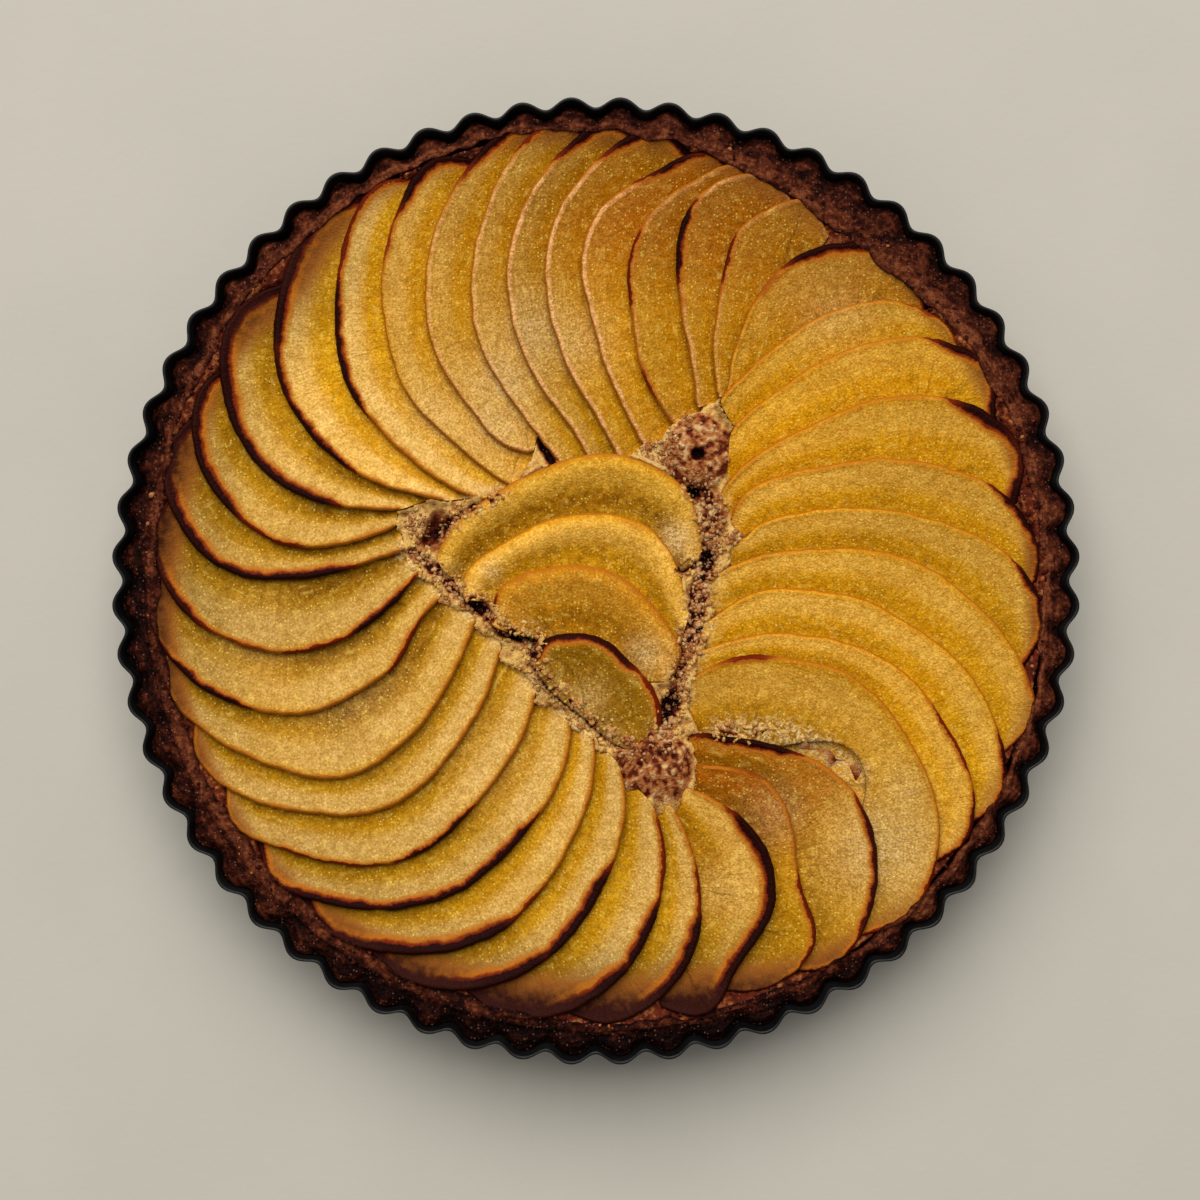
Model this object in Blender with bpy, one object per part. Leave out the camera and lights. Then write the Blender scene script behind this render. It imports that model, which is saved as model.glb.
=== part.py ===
"""Apple frangipane tart baked in its fluted tin, in metres, +Z up, standing on z = 0.

Nodes: the tin, the pastry case, the almond filling, 37 slices of apple laid round the edge like
roof tiles and 4 more across the middle.
"""

import math

import bpy
import numpy as np
from mathutils import Vector
from mathutils.bvhtree import BVHTree

MM = 0.001
GAP = 0.3

# Tin: sizes in mm.
TIN_RADIUS = 125.0
TIN_HEIGHT = 28.0
TIN_SHEET = 1.0
TIN_TAPER = 3.6
FLUTES = 60
FLUTE_DEPTH = 2.8
FLUTE_PEAK = 0.045
FLUTE_START = 3.0
FLUTE_STEPS = 6

# Pastry case.
BASE_THICK = 3.4
CRUST_STEPS = 120
CRUST_TOP = 26.2
CRUST_SHOULDER = 1.6
CRUST_RIDGE = 119.6
CRUST_INNER = 116.6
CRUST_FOOT = 113.6
CRUST_KNEE = 15.0
CRUST_BUMP = 0.45

# Plan sizes from here on count the radius of the tin's rim as 140.
UNIT = TIN_RADIUS / 140.0

# Filling: height of its open surface, and what rises or sinks in it as (x, y, reach, rise).
FILL_TOP = 24.4
FILL_BUMP = 0.5
FILL_RINGS = (5, 11, 17, 23, 29, 34, 39, 44, 50, 57, 66, 80, 95, 109, 117, 123, 127)
FILL_FINE_FROM = 109
FILL_RELIEF = (
    (0.0, -12.0, 40.0, 1.4),
    (30.5, 37.0, 8.0, 2.6),
    (30.5, 37.0, 2.0, -2.4),
    (20.0, -53.0, 8.5, 2.4),
    (35.0, 14.0, 6.0, 1.4),
    (34.0, 4.0, 4.0, -1.6),
    (28.5, 25.0, 3.0, -2.4),
    (-50.0, 14.0, 5.0, 1.2),
    (-45.0, 14.5, 4.0, -2.2),
    (23.5, -38.0, 3.5, -2.2),
    (75.0, -52.0, 7.0, 1.2),
)

# How closely the slices' undersides are felt for, and how far below them the surfaces stay.
PRESS_STEP = 1.25
PRESS_ORDER = 5
PRESS_ROOM = 0.15
PRESS_ROUNDS = 80

# Apple slices: height of the ring's crown, rise from one slice to the next, and thickness.
CROWN = 28.2
CROWN_RADIUS = 95.0
CROWN_FALL = 0.0011
LIFT = 2.9
LIFT_FALL = 0.022
LIFT_RADIUS = 75.0
SLACK = 0.5
STATIONS = 12
FINE_STEPS = 200
TURNING = 0.4
CAP_TURN = 5.5
CAP_DROP = 4.5
PHASE_ORDER = 5
PHASE_POWERS = 4
MIDDLE_TOP = 29.5
MIDDLE_SLOPE = 0.15
MIDDLE_EDGE = 36.0
MIDDLE_LIFT = 2.65

# A ring slice is given by the bearing and radius of its inner tip, the bearings at which its
# peel crosses CIRCLES (None inside the tip), and the bearing and radius of its outer end.
CIRCLES = (48, 60, 75, 92, 108, 120)
RING = (
    (4.5, 36.0, 8.9, 8.6, 7.2, 3.5, -2.6, -8.0, -18.0, 132.5),
    (16.0, 45.0, 18.3, 18.8, 16.3, 12.3, 7.5, 3.3, -7.0, 130.0),
    (24.0, 42.5, 29.4, 29.8, 26.5, 22.6, 17.3, 12.3, 1.5, 128.5),
    (35.5, 44.0, 37.0, 37.8, 36.0, 33.8, 29.8, 25.0, 16.0, 128.8),
    (48.0, 58.0, None, 48.1, 46.4, 44.0, 40.0, 35.6, 27.5, 129.5),
    (56.0, 63.0, None, None, 54.0, 51.4, 47.4, 42.0, 35.0, 126.0),
    (55.5, 67.0, None, None, 58.3, 60.4, 58.8, 54.5, 45.0, 130.0),
    (56.3, 64.0, None, None, 63.0, 66.8, 68.0, 64.5, 61.5, 125.5),
    (60.0, 58.0, None, 61.0, 69.5, 75.2, 76.3, 73.2, 66.5, 127.0),
    (60.5, 50.0, None, 76.3, 81.7, 84.0, 81.3, 76.0, 69.0, 130.0),
    (71.5, 41.5, 78.5, 86.8, 90.7, 92.6, 89.0, 81.8, 75.0, 128.7),
    (78.0, 35.0, 90.3, 97.0, 99.5, 99.1, 95.6, 90.5, 82.5, 132.0),
    (92.0, 33.0, 101.0, 106.5, 107.9, 106.3, 101.8, 96.8, 88.0, 133.0),
    (105.5, 32.5, 112.5, 115.6, 116.2, 113.2, 108.0, 103.4, 95.0, 132.7),
    (116.0, 41.0, 124.4, 126.0, 126.0, 122.2, 116.2, 110.2, 98.5, 134.0),
    (131.5, 36.0, 135.2, 136.0, 135.6, 130.8, 124.9, 119.0, 110.5, 131.0),
    (144.0, 39.0, 146.9, 147.1, 145.3, 141.7, 134.3, 127.8, 118.0, 131.0),
    (152.5, 50.0, None, 155.0, 156.0, 153.0, 147.8, 140.5, 124.0, 133.0),
    (160.3, 60.5, None, None, 163.6, 163.5, 159.4, 153.8, 142.0, 130.0),
    (165.0, 60.0, None, None, 172.0, 173.2, 169.0, 163.4, 153.5, 127.0),
    (170.8, 55.5, None, 172.8, 178.0, 179.8, 178.1, 173.2, 162.5, 130.0),
    (177.5, 51.5, None, 187.3, 193.0, 193.1, 189.0, 184.0, 171.0, 128.0),
    (187.5, 46.0, 188.8, 201.3, 205.1, 204.5, 199.7, 194.0, 179.0, 130.0),
    (200.0, 37.0, 212.5, 218.4, 220.2, 218.0, 209.7, 202.0, 192.0, 128.0),
    (217.5, 35.0, 227.4, 229.7, 230.0, 226.5, 218.2, 211.0, 203.0, 126.0),
    (243.0, 38.0, 244.8, 244.0, 241.4, 237.8, 229.6, 220.0, 213.5, 126.0),
    (260.0, 42.0, 261.0, 259.2, 254.5, 248.9, 240.8, 231.6, 221.5, 127.0),
    (269.4, 46.0, 269.6, 269.0, 265.0, 259.7, 253.2, 244.0, 230.0, 127.5),
    (277.8, 56.0, None, 278.0, 275.4, 270.2, 263.8, 256.3, 241.0, 127.5),
    (284.7, 69.0, None, None, 284.8, 282.0, 276.8, 270.3, 257.0, 128.5),
    (289.3, 71.0, None, None, 289.6, 289.0, 285.8, 280.3, 270.0, 128.0),
    (295.5, 67.0, None, None, 300.0, 302.5, 298.2, 289.7, 284.0, 129.5),
    (300.5, 62.0, None, None, 310.4, 308.2, 303.6, 302.0, 291.0, 127.5),
    (301.5, 52.0, None, 311.0, 319.0, 321.0, 317.8, 312.6, 301.0, 130.5),
    (316.0, 39.5, 333.0, 338.0, 339.8, 336.3, 330.7, 325.5, 311.5, 132.5),
    (327.0, 37.0, 340.8, 345.0, 346.0, 343.7, 338.2, 333.5, 324.5, 131.0),
    (341.0, 35.0, 356.7, 357.6, 356.4, 352.0, 347.2, 342.0, 331.0, 133.0),
)
# One slice shows the hollow where its core was cut out: (radius, bearing) along that side.
CORED_SLICE = 35
CORED_SIDE = ((118, 309.0), (104, 317.0), (96, 324.5), (87, 326.5), (79, 324.0), (69, 315.0), (57, 305.5), (47, 305.5))

# The inner end of every other ring slice is blunt: it runs from the tip to a heel tucked under
# the tip of the slice before it. One slice keeps a pointed end, with a gap beside it.
HEEL_TUCK = 1.2
HEEL_TURN = 2.0
HEEL_ROUND = 5.0
POINTED_SLICE = 15

# The inner ends of these slices swell this far towards the middle of the tart.
END_SWELL = 2.4
SWOLLEN_ENDS = (1, 2, *range(22, 35), 36, 37)

# The middle slices, from the one underneath to the one on top: points (x, y) along the peel
# from the left tip to the right tip, and those of the cut side back again.
MIDDLE = (
    (
        ((-46.5, 8), (-39.5, 17.5), (-28, 26), (-10.5, 34.3), (5.5, 36.4), (18.5, 32), (27.3, 24), (30.9, 9)),
        ((27, 4), (10, 2), (-10, 0), (-35, -2), (-43.5, 2)),
    ),
    (
        ((-39, -5.5), (-38.4, 0.5), (-28, 10.2), (-14.7, 17), (0, 19.3), (14, 16.2), (22.8, 6), (27, -9)),
        ((24, -17), (8, -16), (-8, -12), (-27, -6.5)),
    ),
    (
        ((-31, -12.4), (-27.5, -2.5), (-14.7, 3.4), (2.6, 3.2), (12.7, -3.2), (20.5, -12.5), (24.2, -20), (22, -29)),
        ((12, -29), (0, -24), (-12, -17.5), (-23, -15.5)),
    ),
    (
        ((-17.8, -24.5), (-16, -18.5), (-7, -15.4), (3.5, -17.8), (10, -23.6), (16.5, -31), (18.8, -40), (15, -49.5)),
        ((6, -47.5), (-1.7, -41), (-9.5, -34.8), (-15, -29)),
    ),
)

COLOURS = {
    "tin": (0.02, 0.02, 0.022),
    "pastry_case": (0.11, 0.05, 0.03),
    "frangipane": (0.16, 0.05, 0.03),
    "apple_slice": (0.62, 0.36, 0.06),
}


def clear_scene():
    for item in list(bpy.data.objects):
        bpy.data.objects.remove(item, do_unlink=True)


def material(name):
    found = bpy.data.materials.new(name)
    found.use_nodes = True
    shader = found.node_tree.nodes["Principled BSDF"]
    colour = COLOURS["apple_slice" if "slice" in name else name]
    shader.inputs["Base Color"].default_value = (*colour, 1.0)
    shader.inputs["Roughness"].default_value = 0.4 if name == "tin" else 0.6
    return found


def add_node(name, points, faces, smooth=False):
    """Makes one solid from points in mm."""
    mesh = bpy.data.meshes.new(name)
    mesh.from_pydata([tuple(np.asarray(p) * MM) for p in points], [], faces)
    mesh.update()
    mesh.materials.append(material(name))
    mesh.polygons.foreach_set("use_smooth", [smooth] * len(mesh.polygons))
    node = bpy.data.objects.new(name, mesh)
    bpy.context.scene.collection.objects.link(node)
    return node


def polar(radius, bearing):
    angle = math.radians(bearing)
    return np.array([radius * math.cos(angle), radius * math.sin(angle)])


def flute(bearing):
    """0 in the hollow of a flute and 1 on its crest, with crests a little broader than hollows."""
    turn = np.radians((bearing - FLUTE_START) * FLUTES)
    return 0.5 + 0.5 * np.cos(turn) + FLUTE_PEAK * (1 - np.cos(2 * turn))


def tin_wall(bearing, height, inset):
    """Radius of the tin's wall at a height, set in from its outside."""
    taper = TIN_TAPER * (1 - height / TIN_HEIGHT)
    return TIN_RADIUS - taper - FLUTE_DEPTH * (1 - flute(bearing)) - inset


def ring(count, radius, height):
    """A closed ring of points; radius and height may be numbers or one value for each point."""
    turn = np.radians(np.arange(count) * 360.0 / count)
    radius = np.broadcast_to(radius, count)
    height = np.broadcast_to(height, count)
    return np.stack([radius * np.cos(turn), radius * np.sin(turn), height], axis=1)


def band(lower, upper, lower_count, upper_count):
    """Triangles between two rings that start at these indices, whose counts may differ."""
    faces = []
    low = 0
    high = 0
    while low < lower_count or high < upper_count:
        a = lower + low % lower_count
        b = upper + high % upper_count
        if high >= upper_count or (low < lower_count and (low + 0.5) * upper_count <= (high + 0.5) * lower_count):
            faces.append((a, lower + (low + 1) % lower_count, b))
            low += 1
        else:
            faces.append((a, upper + (high + 1) % upper_count, b))
            high += 1
    return faces


def revolve(rings, bottom, top):
    """A solid from rings in order up its outside and down its inside, closed at two middles."""
    points = np.concatenate([*rings, [[0, 0, bottom], [0, 0, top]]])
    starts = np.cumsum([0] + [len(r) for r in rings])
    faces = []
    for i in range(len(rings) - 1):
        faces += band(starts[i], starts[i + 1], len(rings[i]), len(rings[i + 1]))
    first = len(rings[0])
    faces += [((i + 1) % first, i, starts[-1]) for i in range(first)]
    last = starts[-2]
    size = len(rings[-1])
    faces += [(last + i, last + (i + 1) % size, starts[-1] + 1) for i in range(size)]
    return points, [tuple(int(v) for v in f) for f in faces]


def build_tin():
    count = FLUTES * FLUTE_STEPS
    bearing = np.arange(count) * 360.0 / count
    rings = [
        ring(count, tin_wall(bearing, 0, 0), 0),
        ring(count, tin_wall(bearing, TIN_HEIGHT, 0), TIN_HEIGHT),
        ring(count, tin_wall(bearing, TIN_HEIGHT, TIN_SHEET), TIN_HEIGHT),
        ring(count, tin_wall(bearing, TIN_SHEET, TIN_SHEET), TIN_SHEET),
    ]
    return add_node("tin", *revolve(rings, 0, TIN_SHEET))


def spline(points, count):
    """Points spaced along a natural cubic through the given ones, closer where it turns."""
    points = np.asarray(points, float)
    knots = np.concatenate([[0], np.cumsum(np.linalg.norm(np.diff(points, axis=0), axis=1))])
    steps = np.diff(knots)
    size = len(points)
    system = np.eye(size)
    wanted = np.zeros_like(points)
    for i in range(1, size - 1):
        system[i, i - 1 : i + 2] = steps[i - 1], 2 * (steps[i - 1] + steps[i]), steps[i]
        rise = (points[i + 1] - points[i]) / steps[i] - (points[i] - points[i - 1]) / steps[i - 1]
        wanted[i] = 6 * rise
    bends = np.linalg.solve(system, wanted)
    fine = np.linspace(0, knots[-1], 400)
    part = np.clip(np.searchsorted(knots, fine) - 1, 0, size - 2)
    step = steps[part][:, None]
    after = ((fine - knots[part])[:, None]) / step
    before = 1 - after
    curve = before * points[part] + after * points[part + 1]
    curve += ((before**3 - before) * bends[part] + (after**3 - after) * bends[part + 1]) * step**2 / 6
    return respace(curve, count, TURNING)


def respace(curve, count, turning=0):
    """Picks points along a fine curve, evenly by its length and, in this part, by its turning."""
    ahead = np.diff(curve, axis=0)
    length = np.concatenate([[0], np.cumsum(np.linalg.norm(ahead, axis=1))])
    heading = np.unwrap(np.arctan2(ahead[:, 1], ahead[:, 0]))
    turned = np.concatenate([[0, 0], np.cumsum(np.abs(np.diff(heading)))])
    pace = length / length[-1] + turning * turned / max(turned[-1], 1e-6)
    wanted = np.linspace(0, pace[-1], count + 1)
    return np.stack([np.interp(wanted, pace, curve[:, k]) for k in (0, 1)], axis=1)


def crossings(row):
    """(radius, bearing) along a ring slice's peel, from its inner tip to its outer end."""
    passed = [(r, b) for r, b in zip(CIRCLES, row[2:8]) if b is not None]
    return [(row[1], row[0]), *passed, (row[9], row[8])]


def rounded(start, corner, end, swell=0):
    """A fine line from start to end by way of a corner, which is rounded off.

    Before the corner it swells this far towards the middle of the tart.
    """
    part = np.linspace(0, 1, 100)[:, None]
    reach = [min(HEEL_ROUND, np.linalg.norm(other - corner) / 2) for other in (start, end)]
    enter = corner + (start - corner) * reach[0] / np.linalg.norm(start - corner)
    leave = corner + (end - corner) * reach[1] / np.linalg.norm(end - corner)
    turn = enter * (1 - part) ** 2 + corner * 2 * part * (1 - part) + leave * part**2
    middle = (start + enter) / 2
    inward = -4 * swell * part * (1 - part) * middle / np.linalg.norm(middle)
    straight = start * (1 - part) + enter * part
    return np.concatenate([straight + inward, turn[1:-1], leave * (1 - part) + end * part])


def cut_side(number, tip, outer_tip):
    """A fine line along a ring slice's cut side, from its inner tip to its outer tip."""
    if number == CORED_SLICE:
        return spline([tip, *(polar(r, b) for r, b in CORED_SIDE[::-1]), outer_tip], FINE_STEPS)
    before = RING[number - 2]
    heel = polar(before[1] + HEEL_TUCK, before[0] - HEEL_TURN)
    if number == POINTED_SLICE:
        heel = (tip + outer_tip) / 2
    return rounded(tip, heel, outer_tip, END_SWELL if number in SWOLLEN_ENDS else 0)


def ring_outline(number):
    """The peel side and the cut side of a ring slice in mm, each from inner tip to outer tip."""
    row = RING[number - 1]
    tip = polar(row[1], row[0])
    outer_tip = polar(row[9] - CAP_DROP, row[8] - CAP_TURN)
    peel = [polar(r, b) for r, b in crossings(row)] + [outer_tip]
    cut = respace(cut_side(number, tip, outer_tip), STATIONS)
    return spline(peel, STATIONS) * UNIT, cut * UNIT


def middle_outline(number):
    peel, cut = MIDDLE[number - 1]
    cut = [peel[-1], *cut, peel[0]]
    return spline(peel, STATIONS) * UNIT, spline(cut[::-1], STATIONS) * UNIT


def phase_terms(radius, bearing):
    """Terms of a smooth surface over the ring: powers of the radius times waves round it."""
    away = (np.asarray(radius) - 85.0) / 50.0
    turn = np.radians(bearing)
    terms = []
    for power in range(PHASE_POWERS):
        for wave in range(PHASE_ORDER + 1):
            terms.append(away**power * np.cos(wave * turn))
            if wave:
                terms.append(away**power * np.sin(wave * turn))
    return np.stack(terms, axis=-1)


def fit_phase():
    """The surface that passes each slice's number on that slice's peel, less an even turn."""
    found = [(n, r, b) for n, row in enumerate(RING, 1) for r, b in crossings(row)]
    number, radius, bearing = np.array(found).T
    wanted = number - bearing * len(RING) / 360.0
    return np.linalg.lstsq(phase_terms(radius, bearing), wanted, rcond=None)[0]


PHASE = fit_phase()


def below_peel(number, points):
    """How many slices down a point of a slice lies from its peel, along the slope of the ring."""
    radius = np.clip(np.linalg.norm(points, axis=1) / UNIT, 32, 134)
    bearing = np.degrees(np.arctan2(points[:, 1], points[:, 0]))
    phase = phase_terms(radius, bearing) @ PHASE + bearing * len(RING) / 360.0
    half = len(RING) / 2
    return (number - phase + half) % len(RING) - half


def ring_heights(number, points):
    """Top and underside of a ring slice at plan points in mm."""
    radius = np.linalg.norm(points, axis=1) / UNIT
    lift = LIFT - LIFT_FALL * np.clip(LIFT_RADIUS - radius, 0, None)
    top = CROWN - CROWN_FALL * (radius - CROWN_RADIUS) ** 2 - lift * below_peel(number, points)
    return top, top - (lift - SLACK)


def middle_heights(number, points):
    fall = MIDDLE_SLOPE * (MIDDLE_EDGE * UNIT - points[:, 1])
    top = MIDDLE_TOP - fall + (number - 1) * MIDDLE_LIFT
    return top, top - (MIDDLE_LIFT - SLACK)


def slice_faces():
    """Triangles of a slice: three rows of points from tip to tip on top, and the same below."""
    last = STATIONS
    rows = [[0] + [1 + 3 * (i - 1) + row for i in range(1, last)] + [3 * (last - 1) + 1] for row in range(3)]
    top = []
    for near, far in zip(rows, rows[1:]):
        for i in range(last):
            quad = (near[i], near[i + 1], far[i + 1], far[i])
            top += [t for t in ((quad[0], quad[1], quad[2]), (quad[0], quad[2], quad[3])) if len(set(t)) == 3]
    under = 3 * (last - 1) + 2
    faces = top + [(a + under, c + under, b + under) for a, b, c in top]
    for row, turned in ((rows[0], False), (rows[2], True)):
        for a, b in zip(row, row[1:]):
            if turned:
                a, b = b, a
            faces += [(b, a, a + under), (b, a + under, b + under)]
    return faces


def add_slice(name, outline, heights):
    """A slab of apple between its peel side and its cut side."""
    peel, cut = outline
    middle = (peel + cut) / 2
    inner = np.stack([peel, middle, cut], axis=1)[1:-1].reshape(-1, 2)
    plan = np.concatenate([peel[:1], inner, peel[-1:]])
    top, under = heights(plan)
    points = np.concatenate([np.column_stack([plan, top]), np.column_stack([plan, under])])
    faces = slice_faces()
    if np.sum([np.linalg.det(points[list(f)]) for f in faces]) < 0:
        faces = [(c, b, a) for a, b, c in faces]
    add_node(name, points, faces)
    return points, faces


def build_slices():
    """All the slices; returns the corners of them all in mm, and the faces between those."""
    points = []
    faces = []
    jobs = []
    for number in range(1, len(RING) + 1):
        jobs.append((f"apple_slice_{number:02d}", ring_outline(number), number, ring_heights))
    for number in range(1, len(MIDDLE) + 1):
        jobs.append((f"middle_slice_{number}", middle_outline(number), number, middle_heights))
    for name, outline, number, heights in jobs:
        corners, sides = add_slice(name, outline, lambda plan, n=number, h=heights: h(n, plan))
        faces += [tuple(v + len(points) for v in f) for f in sides]
        points += [tuple(p) for p in corners]
    return points, faces


def shares_in(order):
    """Evenly spread places in a triangle, as the shares of its three corners."""
    pairs = [(i, j) for i in range(order + 1) for j in range(order + 1 - i)]
    return np.array([(i, j, order - i - j) for i, j in pairs]) / order


def share_at(corners, place):
    """The shares of a triangle's corners at a place in plan."""
    a, b, c = corners
    share = np.linalg.solve(np.array([b - a, c - a]).T, place - a)
    return np.array([1 - share.sum(), *share])


def probes(plan, faces, slices):
    """(face, shares, height) wherever a slice lies over a surface that is known in plan."""
    tree = BVHTree.FromPolygons(*slices)
    floor = BVHTree.FromPolygons([(*p, 0.0) for p in plan], faces)
    steps = np.arange(-TIN_RADIUS, TIN_RADIUS, PRESS_STEP)
    places = [tree.ray_cast(Vector((x, y, 0)), Vector((0, 0, 1)))[0] for x in steps for y in steps]
    found = []
    for place in [p for p in places if p is not None] + slices[0]:
        face = floor.ray_cast(Vector((place[0], place[1], 1)), Vector((0, 0, -1)))[2]
        if face is not None:
            found.append((faces[face], share_at(plan[list(faces[face])], place[:2]), place[2]))
    for face in faces:
        for shares in shares_in(PRESS_ORDER):
            place = tree.ray_cast(Vector((*(shares @ plan[list(face)]), 0)), Vector((0, 0, 1)))[0]
            if place is not None:
                found.append((face, shares, place.z))
    return found


def settle(points, faces, slices):
    """Lowers a surface until it lies under every slice above it."""
    found = probes(points[:, :2], faces, slices)
    corners = np.array([f[0] for f in found])
    weights = np.array([f[1] for f in found])
    ceiling = np.array([f[2] for f in found]) - GAP - PRESS_ROOM
    height = points[:, 2].copy()
    for _ in range(PRESS_ROUNDS):
        over = np.clip((weights * height[corners]).sum(axis=1) - ceiling, 0, None)
        drop = over[:, None] * weights / (weights**2).sum(axis=1)[:, None]
        most = np.zeros(len(height))
        np.maximum.at(most, corners, drop)
        height -= most
    return height


def ripple(x, y, length, seed):
    """Soft unevenness between -1 and 1."""
    rng = np.random.default_rng(seed)
    total = np.zeros(np.shape(x))
    for _ in range(6):
        angle, start = rng.uniform(0, 2 * math.pi, 2)
        wave = 2 * math.pi / (length * rng.uniform(0.7, 1.4))
        total = total + np.sin((np.cos(angle) * x + np.sin(angle) * y) * wave + start)
    return total / 4


def build_pastry(slices):
    count = FLUTES * FLUTE_STEPS
    bearing = np.arange(count) * 360.0 / count
    foot = TIN_SHEET + GAP
    inset = TIN_SHEET + GAP + 0.1
    shoulder = CRUST_TOP - CRUST_SHOULDER
    ridge = ring(CRUST_STEPS, CRUST_RIDGE, CRUST_TOP)
    inner = ring(CRUST_STEPS, CRUST_INNER, shoulder)
    ridge[:, 2] += CRUST_BUMP * ripple(ridge[:, 0], ridge[:, 1], 14.0, 3)
    inner[:, 2] += CRUST_BUMP * ripple(inner[:, 0], inner[:, 1], 12.0, 4)
    rings = [
        ring(count, tin_wall(bearing, foot, inset), foot),
        ring(count, tin_wall(bearing, shoulder, inset), shoulder),
        ridge,
        inner,
        ring(CRUST_STEPS, CRUST_INNER, CRUST_KNEE),
        ring(CRUST_STEPS, CRUST_FOOT, foot + BASE_THICK),
    ]
    points, faces = revolve(rings, foot, foot + BASE_THICK)
    top = [f for f in faces if min(f) >= count and max(f) < 2 * count + 2 * CRUST_STEPS]
    points[:, 2] = settle(points, top, slices)
    return add_node("pastry_case", points, faces)


def fill_surface(x, y):
    """Height of the open surface of the filling, before the slices press it down."""
    height = FILL_TOP + FILL_BUMP * ripple(x, y, 16.0, 7)
    for centre_x, centre_y, reach, rise in FILL_RELIEF:
        away = np.hypot(x - centre_x * UNIT, y - centre_y * UNIT) / (reach * UNIT)
        height = height + rise * np.exp(-(away**2) * 1.4)
    return height


def build_filling(slices):
    foot = TIN_SHEET + GAP + BASE_THICK + GAP
    room = GAP + 0.1
    rings = [
        ring(CRUST_STEPS, CRUST_FOOT - room, foot),
        ring(CRUST_STEPS, CRUST_INNER - room, CRUST_KNEE),
        ring(CRUST_STEPS, CRUST_INNER - room, FILL_TOP),
    ]
    for radius in FILL_RINGS[::-1]:
        size = CRUST_STEPS if radius >= FILL_FINE_FROM else 60
        size = 30 if radius < 30 else size
        size = 12 if radius < 10 else size
        rings.append(ring(size, radius * UNIT, FILL_TOP))
    points, faces = revolve(rings, foot, FILL_TOP)
    surface = np.arange(2 * CRUST_STEPS, len(points))
    surface = surface[surface != len(points) - 2]
    points[surface, 2] = fill_surface(points[surface, 0], points[surface, 1])
    lowest = len(points) - 2
    top = [f for f in faces if min(f) >= 2 * CRUST_STEPS and lowest not in f]
    points[:, 2] = settle(points, top, slices)
    return add_node("frangipane", points, faces)


def build():
    clear_scene()
    build_tin()
    slices = build_slices()
    build_pastry(slices)
    build_filling(slices)


build()
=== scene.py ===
"""Looks of the apple frangipane tart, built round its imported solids.

Lengths are in mm unless a comment says otherwise, and bearings in degrees.
"""

import itertools
import math

import bpy
import numpy as np
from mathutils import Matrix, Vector
from mathutils.bvhtree import BVHTree


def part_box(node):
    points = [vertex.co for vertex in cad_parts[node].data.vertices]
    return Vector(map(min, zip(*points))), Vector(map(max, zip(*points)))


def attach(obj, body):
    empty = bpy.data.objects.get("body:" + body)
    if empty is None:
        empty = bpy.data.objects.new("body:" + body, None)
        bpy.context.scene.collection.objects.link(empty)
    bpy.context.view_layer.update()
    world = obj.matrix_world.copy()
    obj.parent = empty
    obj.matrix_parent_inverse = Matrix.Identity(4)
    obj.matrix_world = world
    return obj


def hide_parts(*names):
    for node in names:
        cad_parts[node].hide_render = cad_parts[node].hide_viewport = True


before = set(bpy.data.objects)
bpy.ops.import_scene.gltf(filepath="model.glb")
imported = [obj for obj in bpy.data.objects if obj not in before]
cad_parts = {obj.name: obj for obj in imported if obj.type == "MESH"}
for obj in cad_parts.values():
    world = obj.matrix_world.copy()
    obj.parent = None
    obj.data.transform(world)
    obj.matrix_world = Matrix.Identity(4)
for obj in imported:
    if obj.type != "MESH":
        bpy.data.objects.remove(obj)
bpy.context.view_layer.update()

MM = 0.001

# Tin.
TIN_RADIUS = 125.0
TIN_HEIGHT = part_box("tin")[1][2] / MM
TIN_SHEET = 1.0
TIN_TAPER = 3.6
TIN_CORNER = 1.4
FLUTES = 60
FLUTE_DEPTH = 2.8
FLUTE_PEAK = 0.045
FLUTE_START = 3.0
FLUTE_STEPS = 18

# Plan sizes from here on count the radius of the tin's rim as 140.
UNIT = TIN_RADIUS / 140.0

# Pastry case.
GAP = 0.3
BASE_THICK = 3.4
CASE_INSET = TIN_SHEET + GAP + 0.1
CRUST_INNER = 116.6
CRUST_FOOT = 113.6
CRUST_KNEE = 15.0
CRUST_TOP = 26.1
CRUST_ROWS = 34
CRUST_STEPS = 1800
HIDDEN_STEPS = 120
HIDDEN_SHADE = 0.8
# Its noises as (size, seed, layers). The streaks are drawn out round the rim, this many to a turn.
CRAG = (2.6, 11, 3)
GRIT = (1.0, 13, 2)
STREAK = (1.0, 12, 2)
STREAKS = 128

# Round the rim, as (bearing, value): how dark the crust is and how far it sinks at the tin.
CRUST_DARKNESS = (
    (0, 0.25), (15, 0.3), (30, 0.22), (65, 0.42), (75, 0.28), (90, 0.4), (105, 0.22), (120, 0.15),
    (135, 0.35), (150, 0.3), (165, 0.5), (180, 0.6), (205, 0.35), (222, 0.3), (242, 0.65), (255, 0.7),
    (285, 0.8), (300, 0.6), (315, 0.25), (330, 0.22), (345, 0.22),
)
CRUST_SINKS = (
    (0, 0.3), (40, 0.6), (75, 1.6), (110, 2.4), (150, 2.6), (185, 1.6), (230, 1), (300, 1.8), (340, 1),
)
# The radius of the crust's ragged inner lip, which lies over the ends of the slices.
CRUST_LIP = (
    (0, 129.5), (20, 128.5), (35, 126.8), (47, 123.5), (58, 122.5), (68, 125), (80, 129), (100, 131.5),
    (120, 131), (135, 130), (150, 129.6), (162, 129), (178, 126.8), (192, 126.8), (218, 126.5), (232, 126.2),
    (245, 126.4), (262, 127.4), (280, 128.6), (295, 129.5), (320, 131.4), (345, 131.2),
)
# How ragged it is, as (height, size, seed, layers) of a noise, and how far it stands over a slice.
LIP_RAGGED = (1.8, 7.0, 15, 3)
LIP_COVER = 0.35
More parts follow.
